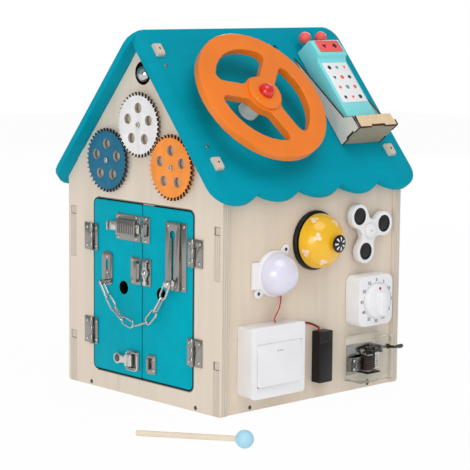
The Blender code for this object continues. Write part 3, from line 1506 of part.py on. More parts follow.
def smooth_route(points):
    """A rounded route through hand-set points, by Catmull-Rom curves."""
    ends = [2 * points[0] - points[1]] + points + [2 * points[-1] - points[-2]]
    route = []
    for a, b, c, d in zip(ends, ends[1:], ends[2:], ends[3:]):
        for i in range(LEAD_STEPS):
            t = i / LEAD_STEPS
            bend = 2 * a - 5 * b + 4 * c - d
            twist = 3 * (b - c) + d - a
            route.append((2 * b + (c - a) * t + bend * t**2 + twist * t**3) / 2)
    route.append(points[-1])
    return route


def battery_box_and_leads():
    left = BATTERY_Y - BATTERY_WIDTH / 2
    edge = rounded(left, left + BATTERY_WIDTH, BATTERY_LOW, BATTERY_HIGH, BATTERY_ROUND)
    box = flat("battery_box", [edge], GAP, BATTERY_DEPTH, SIDE)
    dress(bevel(box, BATTERY_RIDGE, 1), BLACK, 0.45)

    top = BATTERY_HIGH + 2 * GAP
    start = SWITCH_Y + SWITCH_SIZE / 2 - SWITCH_STEP + GAP
    lift = LEAD_RADIUS + LEAD_CLEAR
    route = [
        Vector((start, LEAD_START_Z, 2 * lift)),
        Vector((start + LEAD_CLEAR * 8, LEAD_START_Z + LEAD_CLEAR * 2, 2 * lift)),
        Vector((BATTERY_Y - BATTERY_WIDTH, LEAD_ARCH_Z, lift)),
        Vector((BATTERY_Y - BATTERY_WIDTH / 4, top + 3 * LEAD_RADIUS, 2 * lift)),
        Vector((BATTERY_Y - BATTERY_WIDTH / 4, top, 2 * lift)),
    ]
    dress(wire("battery_lead", smooth_route(route), LEAD_RADIUS, SIDE, resolution=1), RED, 0.4)

    inner_side = LIGHT_LEAD_OFFSET - LIGHT_LEAD_RADIUS
    base_low = LIGHT_Z - math.sqrt(LIGHT_BASE_RADIUS**2 - inner_side**2)
    top = SWITCH_Z + SWITCH_SIZE / 2 - SWITCH_STEP
    lift = LIGHT_BASE_THICK / 2
    first = Vector((LIGHT_Y + LIGHT_LEAD_OFFSET, base_low - GAP, lift))
    last = Vector((LIGHT_Y, top + GAP, SWITCH_BOX_DEPTH / 2))
    drop = Vector((0, 3 * LIGHT_LEAD_RADIUS, 0))
    route = [first, first - drop, first.lerp(last, 1 / 2), last + drop, last]
    dress(wire("light_lead", smooth_route(route), LIGHT_LEAD_RADIUS, SIDE, resolution=1), WHITE, 0.4)


def music_case():
    """Clear cover, open towards the wall, with a hole for the crank."""
    wall = CASE_WALL
    low = (CASE_LEFT, CASE_LOW, GAP)
    case = block("music_case", low, (CASE_RIGHT, CASE_HIGH, CASE_DEPTH), SIDE)
    low = (CASE_LEFT + wall, CASE_LOW + wall, GAP - OVERRUN)
    high = (CASE_RIGHT - wall, CASE_HIGH - wall, CASE_DEPTH - wall)
    cut(case, block("case_hollow", low, high, SIDE))
    axis = turn(at(SIDE, 0, CRANK_Z, CRANK_OUT), math.pi / 2, "Y")
    hole = pin("crank_hole", CRANK_SHAFT + CRANK_HOLE_CLEAR, CASE_RIGHT - 2 * wall, CASE_RIGHT + wall, axis)
    cut(case, hole)
    dress(case, CLEAR, 0.1)


def music_movement():
    """Bed with two bearings for the drum, a comb whose teeth reach the drum, and the crank's bearing."""
    bed_top = GAP + MUSIC_BED_THICK
    low = (MUSIC_BED_LEFT, MUSIC_BED_LOW, GAP)
    bed = block("music_mechanism", low, (MUSIC_BED_RIGHT, MUSIC_BED_HIGH, bed_top), SIDE)
    half = DRUM_CHEEK_HALF
    reach = DRUM_OUT + half
    for name, bottom in (("lower", DRUM_LOW - GAP - DRUM_CHEEK), ("upper", DRUM_HIGH + GAP)):
        low = (DRUM_Y - half, bottom, bed_top / 2)
        join(bed, block(f"{name}_cheek", low, (DRUM_Y + half, bottom + DRUM_CHEEK, reach), SIDE))
    comb_base = MUSIC_BED_LEFT + MUSIC_BED_THICK * 3
    low = (MUSIC_BED_LEFT, DRUM_LOW, bed_top / 2)
    join(bed, block("comb_base", low, (comb_base, DRUM_HIGH, DRUM_OUT), SIDE))
    teeth_end = DRUM_Y - DRUM_RADIUS - GAP
    low = (MUSIC_BED_LEFT + LEAF, DRUM_LOW + GAP, DRUM_OUT - LEAF / 2)
    join(bed, block("comb", low, (teeth_end, DRUM_HIGH - GAP, DRUM_OUT + LEAF / 2), SIDE))
    pitch = (DRUM_HIGH - DRUM_LOW) / COMB_TEETH
    slot = pitch / 5
    for k in range(1, COMB_TEETH):
        height = DRUM_LOW + pitch * k
        low = (comb_base + LEAF, height - slot, DRUM_OUT - OVERRUN)
        cut(bed, block(f"comb_slot_{k}", low, (teeth_end + OVERRUN, height + slot, DRUM_OUT + OVERRUN), SIDE))
    left = MUSIC_BED_RIGHT - DRUM_CHEEK * 2
    low = (left, CRANK_Z - DRUM_CHEEK_HALF, bed_top / 2)
    high = (MUSIC_BED_RIGHT - DRUM_CHEEK / 2, CRANK_Z + DRUM_CHEEK_HALF - LEAF, CRANK_OUT + DRUM_CHEEK_HALF)
    join(bed, block("crank_bearing", low, high, SIDE))
    drum_axis = turn(at(SIDE, DRUM_Y, 0, DRUM_OUT), -math.pi / 2, "X")
    ends = (DRUM_LOW - DRUM_CHEEK - OVERRUN, DRUM_HIGH + DRUM_CHEEK + OVERRUN)
    cut(bed, pin("drum_bore", DRUM_STUB + GAP, *ends, drum_axis, 12))
    crank_axis = turn(at(SIDE, 0, CRANK_Z, CRANK_OUT), math.pi / 2, "Y")
    cut(bed, pin("crank_bore", CRANK_SHAFT + GAP, left - OVERRUN, MUSIC_BED_RIGHT + OVERRUN, crank_axis, 12))
    dress(bed, GREY, 0.4, 1.0)

    wheel_low = CRANK_Z - DRUM_WHEEL_THICK / 2
    wheel_high = CRANK_Z + DRUM_WHEEL_THICK / 2
    profile = [
        (0, wheel_high),
        (DRUM_WHEEL, wheel_high),
        (DRUM_WHEEL, wheel_low),
        (DRUM_STUB, wheel_low),
        (DRUM_STUB, DRUM_HIGH),
        (DRUM_RADIUS, DRUM_HIGH),
        (DRUM_RADIUS, DRUM_LOW),
        (DRUM_STUB, DRUM_LOW),
        (DRUM_STUB, DRUM_LOW - DRUM_CHEEK),
        (0, DRUM_LOW - DRUM_CHEEK),
    ]
    dress(turned("music_drum", profile, drum_axis, 24), DARK_BROWN, 0.4)

    worm = CRANK_OUT - DRUM_OUT - DRUM_WHEEL - GAP
    worm_end = MUSIC_BED_RIGHT - 2 * DRUM_CHEEK - GAP
    arm_end = CRANK_ARM_Y + DRUM_CHEEK
    profile = [
        (0, arm_end),
        (2 * CRANK_SHAFT, arm_end),
        (2 * CRANK_SHAFT, CRANK_ARM_Y),
        (CRANK_SHAFT, CRANK_ARM_Y),
        (CRANK_SHAFT, worm_end),
        (worm, worm_end),
        (worm, worm_end - 2 * DRUM_WHEEL),
        (0, worm_end - 2 * DRUM_WHEEL),
    ]
    crank = turned("music_crank", profile, crank_axis, SMALL_SIDES)
    bar = rounded(-CRANK_SHAFT, CRANK_SHAFT, -CRANK_SHAFT, CRANK_ARM + CRANK_SHAFT, CRANK_SHAFT)
    arm_frame = turn(crank_axis, CRANK_REST)
    join(crank, flat("crank_arm", [bar], CRANK_ARM_Y + GAP, arm_end - GAP, arm_frame))
    knob_frame = at(arm_frame, 0, CRANK_ARM)
    neck = CRANK_KNOB_RADIUS * WAIST_share
    profile = [
        (0, CRANK_KNOB_END),
        (neck, CRANK_KNOB_END),
        (CRANK_KNOB_RADIUS, CRANK_KNOB_END - neck),
        (CRANK_KNOB_RADIUS, CRANK_KNOB_END - 3 * neck),
        (neck, arm_end + neck),
        (neck, CRANK_ARM_Y + LEAF),
        (0, CRANK_ARM_Y + LEAF),
    ]
    join(crank, turned("crank_knob", profile, knob_frame, SMALL_SIDES))
    dress(crank, STEEL, 0.3, 1.0)


def mallet():
    """Ball-headed beater lying on the ground in front of the house."""
    along = MALLET_BALL - MALLET_END
    length = along.length
    frame = Matrix.Translation(MALLET_END) @ along.to_track_quat("Z", "Y").to_matrix().to_4x4()
    stick = MALLET_STICK_RADIUS
    meet = math.asin(stick / MALLET_BALL_RADIUS)
    angles = [(math.pi - meet) * i / 9 for i in range(10)]
    profile = [(MALLET_BALL_RADIUS * math.sin(a), length + MALLET_BALL_RADIUS * math.cos(a)) for a in angles]
    profile += [(stick, stick / 2), (stick / 2, 0), (0, 0)]
    dress(turned("mallet", profile, frame, 20), PALE_BLUE, 0.5)


def main():
    global parts, cutters
    clear_scene()
    parts = new_collection("Activity house")
    cutters = new_collection("Cutters")
    cutters.hide_render = True
    front_panel()
    back_panel()
    side_wall("right_wall", -PLY, 0)
    side_wall("left_wall", -2 * WALL_FACE, -2 * WALL_FACE + PLY)
    floor_panel()
    roof()
    for name, side in (("door_left", -1), ("door_right", 1)):
        door(name, side)
        for number, low in enumerate(HINGE_LOWS):
            hinge(side, number, low)
    bolt()
    chain()
    turn_latch()
    toggle_latch()
    gears()
    jingle_bell()
    steering_wheel()
    phone_tray()
    phone()
    push_light()
    call_bell()
    spinner()
    timer()
    switch()
    battery_box_and_leads()
    music_case()
    music_movement()
    mallet()


main()
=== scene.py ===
"""Dressing of the wooden activity house: finishes, fasteners, prints, fuller forms, stage and camera.

Metres, +Z up, the doors on the -Y side. Every piece is placed on the solids that carry it.
"""

import json
import math

import bpy
from mathutils import Matrix, Vector


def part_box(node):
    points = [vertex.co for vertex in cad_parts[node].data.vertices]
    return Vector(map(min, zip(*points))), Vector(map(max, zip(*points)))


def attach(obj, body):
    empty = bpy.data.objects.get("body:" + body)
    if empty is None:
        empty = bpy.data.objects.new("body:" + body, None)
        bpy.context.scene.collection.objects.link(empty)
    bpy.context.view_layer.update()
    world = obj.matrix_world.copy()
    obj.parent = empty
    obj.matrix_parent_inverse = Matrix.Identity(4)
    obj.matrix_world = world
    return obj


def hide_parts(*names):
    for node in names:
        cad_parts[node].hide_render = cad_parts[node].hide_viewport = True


bl_info = {
    "name": "Activity House",
    "version": (1, 0, 0),
    "blender": (4, 5, 0),
    "location": "3D View > Sidebar > House",
    "description": "Dresses the wooden activity house piece by piece",
    "category": "Object",
}

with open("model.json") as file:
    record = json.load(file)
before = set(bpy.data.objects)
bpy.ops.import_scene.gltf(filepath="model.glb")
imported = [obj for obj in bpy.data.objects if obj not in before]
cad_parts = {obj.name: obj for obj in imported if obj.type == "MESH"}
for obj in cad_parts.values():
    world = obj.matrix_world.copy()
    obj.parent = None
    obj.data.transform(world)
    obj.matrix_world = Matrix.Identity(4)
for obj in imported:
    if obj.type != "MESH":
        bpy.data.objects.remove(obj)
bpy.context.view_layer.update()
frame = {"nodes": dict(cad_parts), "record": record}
nodes = frame["nodes"]

# Places read from the solids
FACE_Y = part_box("door_left")[0].y
WALL_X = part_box("right_wall")[1].x
DOOR_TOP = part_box("door_left")[1].z
ROOF_ANGLE = math.radians(50.6)
RIDGE = 0.454
PLATE_TOP = 0.0015
DOORWAY_HALF = 0.0945
DOORWAY_LOW = 0.023
DOORWAY_HIGH = 0.2424
DOORWAY_ROUND = 0.008

# Modelling
QUARTER = math.pi / 2
SEAT = 0.0003
WELD = 0.00001
SMOOTH_ANGLE = math.radians(35)
FLAT_ANGLE = math.radians(0.5)


def frame_of(x_axis, y_axis, z_axis, origin):
    """A frame from its axes and its origin."""
    return Matrix.Translation(origin) @ Matrix((x_axis, y_axis, z_axis)).transposed().to_4x4()


def at(base, x, y, z=0.0):
    """The frame moved along its own axes."""
    return base @ Matrix.Translation((x, y, z))


def turned_by(base, angle, axis="Z"):
    """The frame turned about one of its own axes."""
    return base @ Matrix.Rotation(angle, 4, axis)


# Local frames: x and y lie in the face, z points out of it
NORMAL = Vector((math.sin(ROOF_ANGLE), 0, math.cos(ROOF_ANGLE)))
SLOPE = Vector((math.cos(ROOF_ANGLE), 0, -math.sin(ROOF_ANGLE)))
FRONT = frame_of(Vector((1, 0, 0)), Vector((0, 0, 1)), Vector((0, -1, 0)), (0, FACE_Y, 0))
SIDE = frame_of(Vector((0, 1, 0)), Vector((0, 0, 1)), Vector((1, 0, 0)), (WALL_X, 0, 0))
ROOF = frame_of(SLOPE, Vector((0, 1, 0)), NORMAL, (0, 0, RIDGE))
ROOF_SECTION = turned_by(ROOF, QUARTER, "X")


# Materials


def colour_of(rgb):
    """sRGB shares as an opaque linear colour."""
    return (*[v / 12.92 if v <= 0.04045 else ((v + 0.055) / 1.055) ** 2.4 for v in rgb], 1.0)


def tint(name):
    """A colour set in the panel, as sRGB shares."""
    return tuple(getattr(bpy.context.scene.house_colours, name))


def shade(rgb, share):
    """A colour made darker or lighter."""
    return tuple(value * share for value in rgb)


class Finish:
    """A material under construction: short calls that add and join its nodes."""

    def __init__(self, name, base, roughness, metallic=0.0, shine=None):
        self.material = bpy.data.materials.new(name)
        self.material.use_nodes = True
        self.tree = self.material.node_tree
        self.shader = self.tree.nodes["Principled BSDF"]
        self.set("Base Color", colour_of(base))
        self.set("Roughness", roughness)
        self.set("Metallic", metallic)
        if shine is not None:
            self.set("Specular IOR Level", shine)

    def set(self, socket, value):
        self.shader.inputs[socket].default_value = value

    def coat(self, weight, roughness):
        self.set("Coat Weight", weight)
        self.set("Coat Roughness", roughness)

    def join(self, value, socket):
        """Links an output to a socket, or sets a number or a colour in it."""
        if hasattr(value, "is_linked"):
            self.tree.links.new(value, socket)
        else:
            socket.default_value = value

    def node(self, kind, **settings):
        made = self.tree.nodes.new(kind)
        for name, value in settings.items():
            setattr(made, name, value)
        return made

    def texture_place(self, output):
        return self.node("ShaderNodeTexCoord").outputs[output]

    def coordinate(self, axis):
        """Distance along one axis of the object."""
        split = self.node("ShaderNodeSeparateXYZ")
        self.join(self.texture_place("Object"), split.inputs["Vector"])
        return split.outputs[axis]

    def vector_math(self, operation, vector, other):
        made = self.node("ShaderNodeVectorMath", operation=operation)
        self.join(vector, made.inputs[0])
        self.join(other, made.inputs[1])
        return made.outputs["Value"]

    def facing(self, axis):
        """How squarely the surface faces along its own axis, either way: 1 on its faces, 0 on its edges."""
        return self.math("ABSOLUTE", self.vector_math("DOT_PRODUCT", self.texture_place("Normal"), axis))

    def noise(self, scale, detail=4.0, stretch=(1, 1, 1), distortion=0.0):
        mapping = self.node("ShaderNodeMapping")
        self.join(self.texture_place("Object"), mapping.inputs["Vector"])
        self.join(stretch, mapping.inputs["Scale"])
        made = self.node("ShaderNodeTexNoise")
        self.join(mapping.outputs["Vector"], made.inputs["Vector"])
        for socket, value in (("Scale", scale), ("Detail", detail), ("Distortion", distortion)):
            self.join(value, made.inputs[socket])
        return made.outputs["Fac"]

    def ramp(self, value, *stops):
        """Colours or greys along a value; stops are (place, colour or share) pairs."""
        made = self.node("ShaderNodeValToRGB")
        elements = made.color_ramp.elements
        while len(elements) < len(stops):
            elements.new(0.5)
        for element, (place, tone) in zip(elements, stops):
            element.position = place
            element.color = colour_of(tone) if hasattr(tone, "__len__") else (tone, tone, tone, 1.0)
        self.join(value, made.inputs["Fac"])
        return made.outputs["Color"]

    def tones(self, value, base, *stops):
        """Lighter and darker tones of one colour along a value; stops are (place, share) pairs."""
        return self.ramp(value, *[(place, shade(base, share)) for place, share in stops])

    def math(self, operation, *values):
        made = self.node("ShaderNodeMath", operation=operation)
        for socket, value in zip(made.inputs, values):
            self.join(value, socket)
        return made.outputs["Value"]

    def mix(self, share, first, second):
        """A colour between two colours; the node's colour sockets come after its number sockets."""
        made = self.node("ShaderNodeMix", data_type="RGBA")
        for place, value in ((0, share), (6, first), (7, second)):
            plain_colour = place and not hasattr(value, "is_linked")
            self.join(colour_of(value) if plain_colour else value, made.inputs[place])
        return made.outputs[2]

    def paint(self, colour):
        self.join(colour, self.shader.inputs["Base Color"])

    def rough(self, value, low, high):
        """Roughness that varies between two shares with a value."""
        made = self.node("ShaderNodeMapRange")
        for socket, part in (("To Min", low), ("To Max", high), ("Value", value)):
            self.join(part, made.inputs[socket])
        self.join(made.outputs["Result"], self.shader.inputs["Roughness"])

    def bump(self, height, distance, strength=0.5):
        made = self.node("ShaderNodeBump")
        for socket, value in (("Strength", strength), ("Distance", distance), ("Height", height)):
            self.join(value, made.inputs[socket])
        self.join(made.outputs["Normal"], self.shader.inputs["Normal"])


def once(build):
    """A finish that is made the first time it is asked for."""

    def fetch(*values):
        name = build.__name__ if not values else f"{build.__name__}_{values[0]}"
        return bpy.data.materials.get(name) or build(name, *values)

    return fetch


# Grain of a panel: axis square to its faces, stretch of the figure, axis across its layers
GRAINS = {
    "across": ((1, 0, 0), (1, 1, 0.08), "X"),
    "deep": ((0, 1, 0), (1, 1, 0.08), "Y"),
    "front": ((0, 1, 0), (1, 1, 0.08), "Y"),
    "flat": ((0, 0, 1), (0.08, 1, 1), "Z"),
}
LAYER = 0.0034
CUT_EDGE = ((0.45, 0.0), (0.6, 1.0))
LASER_EDGE = ((0.78, 0.0), (0.90, 1.0))
# Share of the scorch colour for soot and painted shade together: cut edges round the front's openings and the
# doors, and the painted shadow band beside the doorway
SOOT_AND_SHADE = 0.5
OPENING_REACH = 0.098
OPENING_TOP = 0.418
SEAM_REACH = 0.004
GEAR_WEB = 0.027


@once
def birch(name, grain):
    """Pale birch plywood: figured faces and glued layers on cut edges. On the front, the middle openings' cut
    edges get soot with painted shade, and the face gets a painted shadow band beside the doorway.
    """
    pale = tint("birch")
    finish = Finish(name, pale, 0.62, shine=0.3)
    axis, stretch, letter = GRAINS[grain]
    figure = finish.noise(55, 6, stretch, 0.6)
    cloud = finish.noise(9, 3, stretch)
    fleck = finish.noise(420, 2, stretch)
    face = finish.tones(figure, pale, (0.25, 0.955), (0.55, 1), (0.8, 1.02))
    warm = (pale[0], pale[1] * 0.97, pale[2] * 0.93)
    face = finish.mix(finish.ramp(cloud, (0.35, 0.0), (0.75, 0.7)), face, warm)
    face = finish.mix(finish.ramp(fleck, (0.66, 0.0), (0.78, 0.3)), face, shade(pale, 0.9))
    layer = finish.math("FRACT", finish.math("MULTIPLY", finish.coordinate(letter), 1 / LAYER))
    layers = finish.tones(layer, pale, (0.0, 0.92), (0.42, 0.99), (0.55, 0.88))
    layers = finish.mix(finish.ramp(fleck, (0.4, 0.0), (0.7, 0.3)), layers, shade(pale, 0.84))
    if grain == "front":
        # Scorch colour on the middle openings' cut edges: soot that also stands in for the shade inside the
        # holes
        soot = shade(tint("scorch"), SOOT_AND_SHADE)
        across = finish.coordinate("X")
        middle = finish.math("LESS_THAN", finish.math("ABSOLUTE", across), OPENING_REACH)
        below = finish.math("LESS_THAN", finish.coordinate("Z"), OPENING_TOP)
        layers = finish.mix(finish.math("MULTIPLY", middle, below), layers, soot)
        # Painted shadow of the door gap: a dark band on the face along the doorway's top, right side and foot
        rim = finish.ramp(doorway_reach(finish), (0.90, 0.8), (0.98, 0.0))
        inside = finish.math("GREATER_THAN", across, DOORWAY_ROUND - DOORWAY_HALF)
        face = finish.mix(finish.math("MULTIPLY", rim, inside), face, soot)
    finish.paint(finish.mix(finish.ramp(finish.facing(axis), *CUT_EDGE), layers, face))
    finish.rough(figure, 0.55, 0.72)
    finish.bump(finish.math("ADD", figure, finish.math("MULTIPLY", fleck, 0.4)), 0.0002, 0.3)
    return finish.material


def doorway_reach(finish):
    """Centimetres above, below or right of the doorway's middle part: its rim lies at the corner's radius."""
    across = finish.math("SUBTRACT", finish.coordinate("X"), DOORWAY_HALF - DOORWAY_ROUND)
    height = finish.math("SUBTRACT", finish.coordinate("Z"), (DOORWAY_LOW + DOORWAY_HIGH) / 2)
    height = finish.math("ABSOLUTE", height)
    height = finish.math("SUBTRACT", height, (DOORWAY_HIGH - DOORWAY_LOW) / 2 - DOORWAY_ROUND)
    squares = []
    for value in (across, height):
        beyond = finish.math("MAXIMUM", value, 0.0)
        squares.append(finish.math("MULTIPLY", beyond, beyond))
    return finish.math("MULTIPLY", finish.math("SQRT", finish.math("ADD", *squares)), 100)


@once
def bare_wood(name, colour):
    """Turned or sawn light wood with long fine grain."""
    pale = tint(colour)
    finish = Finish(name, pale, 0.6, shine=0.3)
    figure = finish.noise(90, 5, (0.15, 1, 1), 0.5)
    pores = finish.noise(700, 2, (0.1, 1, 1))
    body = finish.tones(figure, pale, (0.3, 0.93), (0.7, 1))
    finish.paint(finish.mix(finish.ramp(pores, (0.6, 0.0), (0.75, 0.4)), body, shade(pale, 0.82)))
    finish.rough(figure, 0.5, 0.68)
    finish.bump(pores, 0.00008, 0.3)
    return finish.material


@once
def laser_cut(name, colour, axis, middle=None):
    """Sheet wood cut by a laser: coloured faces and scorched edges; round a middle, the holes' walls get
    painted light, pale wood in place of soot.
    """
    base = tint(colour)
    finish = Finish(name, base, 0.5, shine=0.3)
    grain = finish.noise(70, 5, (1, 1, 0.12), 0.5)
    soot = finish.noise(260, 3)
    face = finish.tones(grain, base, (0.3, 0.94), (0.7, 1.01))
    edge = finish.tones(soot, tint("scorch"), (0.35, 0.5), (0.75, 1.25))
    # Painted light: the cut walls of the holes near the middle are pale wood instead of soot, as if lit
    # through
    if middle:
        far = finish.vector_math("DISTANCE", finish.texture_place("Object"), middle)
        edge = finish.mix(finish.math("LESS_THAN", far, GEAR_WEB), edge, shade(tint("birch"), 0.8))
    finish.paint(finish.mix(finish.ramp(finish.facing(axis), *LASER_EDGE), edge, face))
    finish.rough(soot, 0.42, 0.7)
    finish.bump(grain, 0.0001, 0.25)
    return finish.material


@once
def paint(name, colour, cut=None):
    """Sprayed paint over plywood, with faint orange peel and grain; a cut axis adds dark cut edges, soot and
    painted shade of the gaps together, and a painted shadow band along the doorway's outline.
    """
    base = tint(colour)
    finish = Finish(name, base, 0.5, shine=0.04)
    peel = finish.noise(900, 2)
    grain = finish.noise(60, 5, (1, 0.1, 1), 0.4)
    cloud = finish.noise(7, 3)
    body = finish.tones(grain, base, (0.3, 0.97), (0.7, 1.02))
    body = finish.mix(finish.ramp(cloud, (0.3, 0.0), (0.8, 0.4)), body, shade(base, 0.96))
    if cut:
        # Painted shadow of the door gap: the face darkens towards its outline along the top, the foot and the
        # right door's outer side
        rim = finish.ramp(doorway_reach(finish), (0.56, 0.0), (0.62, 0.6))
        body = finish.mix(rim, body, shade(base, 0.3))
        # Cut edges: darker paint in the seam between the doors and soot on the other edges, both partly
        # painted shade of the gaps
        outer = finish.math("GREATER_THAN", finish.math("ABSOLUTE", finish.coordinate("X")), SEAM_REACH)
        edge = finish.mix(outer, shade(base, 0.6), shade(tint("scorch"), SOOT_AND_SHADE))
        body = finish.mix(finish.ramp(finish.facing(cut), *CUT_EDGE), edge, body)
    finish.paint(body)
    finish.rough(cloud, 0.44, 0.56)
    finish.bump(finish.math("ADD", peel, finish.math("MULTIPLY", grain, 1.5)), 0.0001, 0.3)
    return finish.material


STEEL_GREYS = {"bright": 0.82, "plate": 0.60, "dark": 0.38}


@once
def steel(name, tone):
    """Zinc plated steel: fine drawing lines, a soft sheen and slightly duller patches."""
    grey = STEEL_GREYS[tone]
    base = (grey, grey * 0.985, grey * 0.96)
    finish = Finish(name, base, 0.24, 1.0)
    lines = finish.noise(1500, 2, (1, 1, 0.06))
    cloud = finish.noise(60, 3)
    finish.paint(finish.tones(cloud, base, (0.3, 0.97), (0.7, 1.02)))
    dull = finish.math("ADD", finish.math("MULTIPLY", lines, 0.5), finish.math("MULTIPLY", cloud, 0.5))
    finish.rough(dull, 0.16, 0.26)
    finish.bump(lines, 0.00003, 0.2)
    return finish.material


@once
def chrome(name):
    """Bright plating with faint clouds."""
    base = (0.80, 0.80, 0.80)
    finish = Finish(name, base, 0.10, 1.0)
    cloud = finish.noise(220, 3)
    finish.paint(finish.tones(cloud, base, (0.35, 0.90), (0.7, 1)))
    finish.rough(cloud, 0.05, 0.16)
    return finish.material


# Plastics by colour: roughness, scale of the spark texture, weight of the coat
PLASTICS = {
    "white": (0.30, 1400, 0.0),
    "black": (0.40, 500, 0.0),
    "bearing": (0.30, 1400, 0.0),
    "wheel_orange": (0.40, 1400, 0.6),
    "horn_red": (0.20, 1400, 0.9),
    "phone_teal": (0.36, 1400, 0.0),
    "coral": (0.22, 1400, 0.0),
    "navy": (0.35, 1400, 0.0),
    "ink": (0.50, 1400, 0.0),
    "pale_blue": (0.45, 1400, 0.0),
}
PRINT = (0.40, 1400, 0.0)


@once
def plastic(name, colour):
    """Moulded plastic or print: a fine spark texture, slight flow variation and an uneven gloss."""
    base = tint(colour)
    gloss, texture, coat = PLASTICS.get(colour, PRINT)
    finish = Finish(name, base, gloss, shine=0.35)
    finish.coat(coat, 0.05)
    spark = finish.noise(texture, 2)
    flow = finish.noise(18, 3)
    finish.paint(finish.tones(flow, base, (0.3, 0.975), (0.7, 1.015)))
    finish.rough(flow, gloss - 0.05, gloss + 0.07)
    finish.bump(spark, 0.00005, 0.25)
    return finish.material


@once
def milky(name):
    """Milky lamp cover that light soaks into."""
    base = tint("lamp")
    finish = Finish(name, base, 0.3)
    finish.coat(0.7, 0.1)
    finish.set("Subsurface Weight", 0.35)
    finish.set("Subsurface Radius", (0.006, 0.006, 0.007))
    finish.set("Subsurface Scale", 0.5)
    flow = finish.noise(40, 3)
    finish.paint(finish.tones(flow, base, (0.3, 0.98), (0.7, 1.01)))
    finish.rough(flow, 0.18, 0.3)
    finish.bump(finish.noise(1200, 2), 0.00004, 0.2)
    return finish.material


@once
def clear(name):
    """Clear moulded plastic with faint scuffs."""
    finish = Finish(name, (0.97, 0.98, 0.98), 0.05)
    finish.set("Transmission Weight", 1.0)
    finish.set("IOR", 1.05)
    scuff = finish.noise(90, 4, (1, 0.3, 1))
    finish.rough(finish.ramp(scuff, (0.5, 0.0), (0.9, 1.0)), 0.03, 0.2)
    return finish.material


CALL_Y = 0.0017
CALL_Z = 0.1988
CALL_RADIUS = 0.0340
CALL_RISE = 0.0305
CALL_LOW = 0.0080
SPOT_RADIUS = 0.0025
SPOT_SPREAD = 0.092
# Groups of three spots: angle from the bell's axis and angle round it, in degrees
BELL_SPOTS = ((46, 160), (48, 70), (50, 245), (48, 335), (74, 200), (74, 120), (74, 290), (74, 20))
DASHES = 7
DASH_HALF = 0.17
DASH_RADIUS = 0.0060
DASH_REACH = 0.0024


@once
def spotted(name):
    """Yellow enamel with groups of three round pale spots spread over the bell."""
    base = tint("bell_yellow")
    finish = Finish(name, base, 0.2)
    finish.coat(0.4, 0.1)
    source = finish.texture_place("Object")
    nearest = 1.0
    for rise, turn in BELL_SPOTS:
        rise, turn = math.radians(rise), math.radians(turn)
        for third in range(3):
            angle = math.tau / 3 * third + turn
            lean = rise + SPOT_SPREAD * math.cos(angle)
            swing = turn + SPOT_SPREAD * math.sin(angle) / math.sin(rise)
            out = CALL_LOW + CALL_RISE * math.cos(lean)
            reach = CALL_RADIUS * math.sin(lean)
            spot = SIDE @ Vector((CALL_Y + reach * math.cos(swing), CALL_Z + reach * math.sin(swing), out))
            nearest = finish.math("MINIMUM", nearest, finish.vector_math("DISTANCE", source, spot))
    flow = finish.noise(30, 3)
    body = finish.tones(flow, base, (0.3, 0.97), (0.7, 1.02))
    finish.paint(finish.mix(finish.math("LESS_THAN", nearest, SPOT_RADIUS), body, tint("bell_spots")))
    finish.rough(flow, 0.14, 0.26)
    return finish.material


@once
def dashed(name):
    """Black plastic with pale radial dashes round the bell's axis."""
    base = tint("black")
    finish = Finish(name, base, 0.25)
    y = finish.math("SUBTRACT", finish.coordinate("Y"), CALL_Y)
    z = finish.math("SUBTRACT", finish.coordinate("Z"), CALL_Z)
    reach = finish.math("ADD", finish.math("MULTIPLY", y, y), finish.math("MULTIPLY", z, z))
    reach = finish.math("SQRT", reach)
    turn = finish.math("MULTIPLY", finish.math("ARCTAN2", z, y), DASHES / math.tau)
    cell = finish.math("ABSOLUTE", finish.math("SUBTRACT", finish.math("FRACT", turn), 0.5))
    narrow = finish.math("LESS_THAN", cell, DASH_HALF)
    off = finish.math("ABSOLUTE", finish.math("SUBTRACT", reach, DASH_RADIUS))
    band = finish.math("LESS_THAN", off, DASH_REACH)
    grain = finish.noise(300, 2)
    body = finish.tones(grain, base, (0.3, 0.8), (0.7, 1.3))
    finish.paint(finish.mix(finish.math("MULTIPLY", narrow, band), body, tint("white")))
    finish.rough(grain, 0.2, 0.34)
    return finish.material


@once
def pinned(name):
    """Dark drum with fine pin rows."""
    base = tint("drum")
    finish = Finish(name, base, 0.42, shine=0.2)
    pins = finish.noise(1600, 1)
    finish.paint(finish.tones(pins, base, (0.55, 1), (0.7, 1.8)))
    finish.rough(pins, 0.3, 0.5)
    finish.bump(pins, 0.0001, 0.4)
    return finish.material


# Modelling, as by hand


def activate(*pieces):
    """Selects these pieces only and makes the first one active."""
    for obj in list(bpy.context.selected_objects):
        obj.select_set(False)
    for piece in pieces:
        piece.select_set(True)
    if pieces:
        bpy.context.view_layer.objects.active = pieces[0]


def start(name):
    """Names the primitive that was just added and opens it for editing."""
    obj = bpy.context.object
    obj.name = name
    obj.data.name = name
    bpy.ops.object.mode_set(mode="EDIT")
    bpy.ops.mesh.select_all(action="SELECT")
    return obj


def close(obj):
    """Merges what meets, turns the faces outwards and leaves edit mode."""
    bpy.ops.mesh.select_all(action="SELECT")
    bpy.ops.mesh.remove_doubles(threshold=WELD)
    bpy.ops.mesh.normals_make_consistent(inside=False)
    bpy.ops.object.mode_set(mode="OBJECT")
    return obj


def apply(obj, kind, **settings):
    """Adds a modifier and applies it."""
    activate(obj)
    modifier = obj.modifiers.new(kind, kind)
    for name, value in settings.items():
        setattr(modifier, name, value)
    bpy.ops.object.modifier_apply(modifier=modifier.name)
    return obj


def soft(obj, width, segments=2):
    """Rounds the sharp edges."""
    return apply(obj, "BEVEL", width=width, segments=segments, limit_method="ANGLE", angle_limit=SMOOTH_ANGLE)


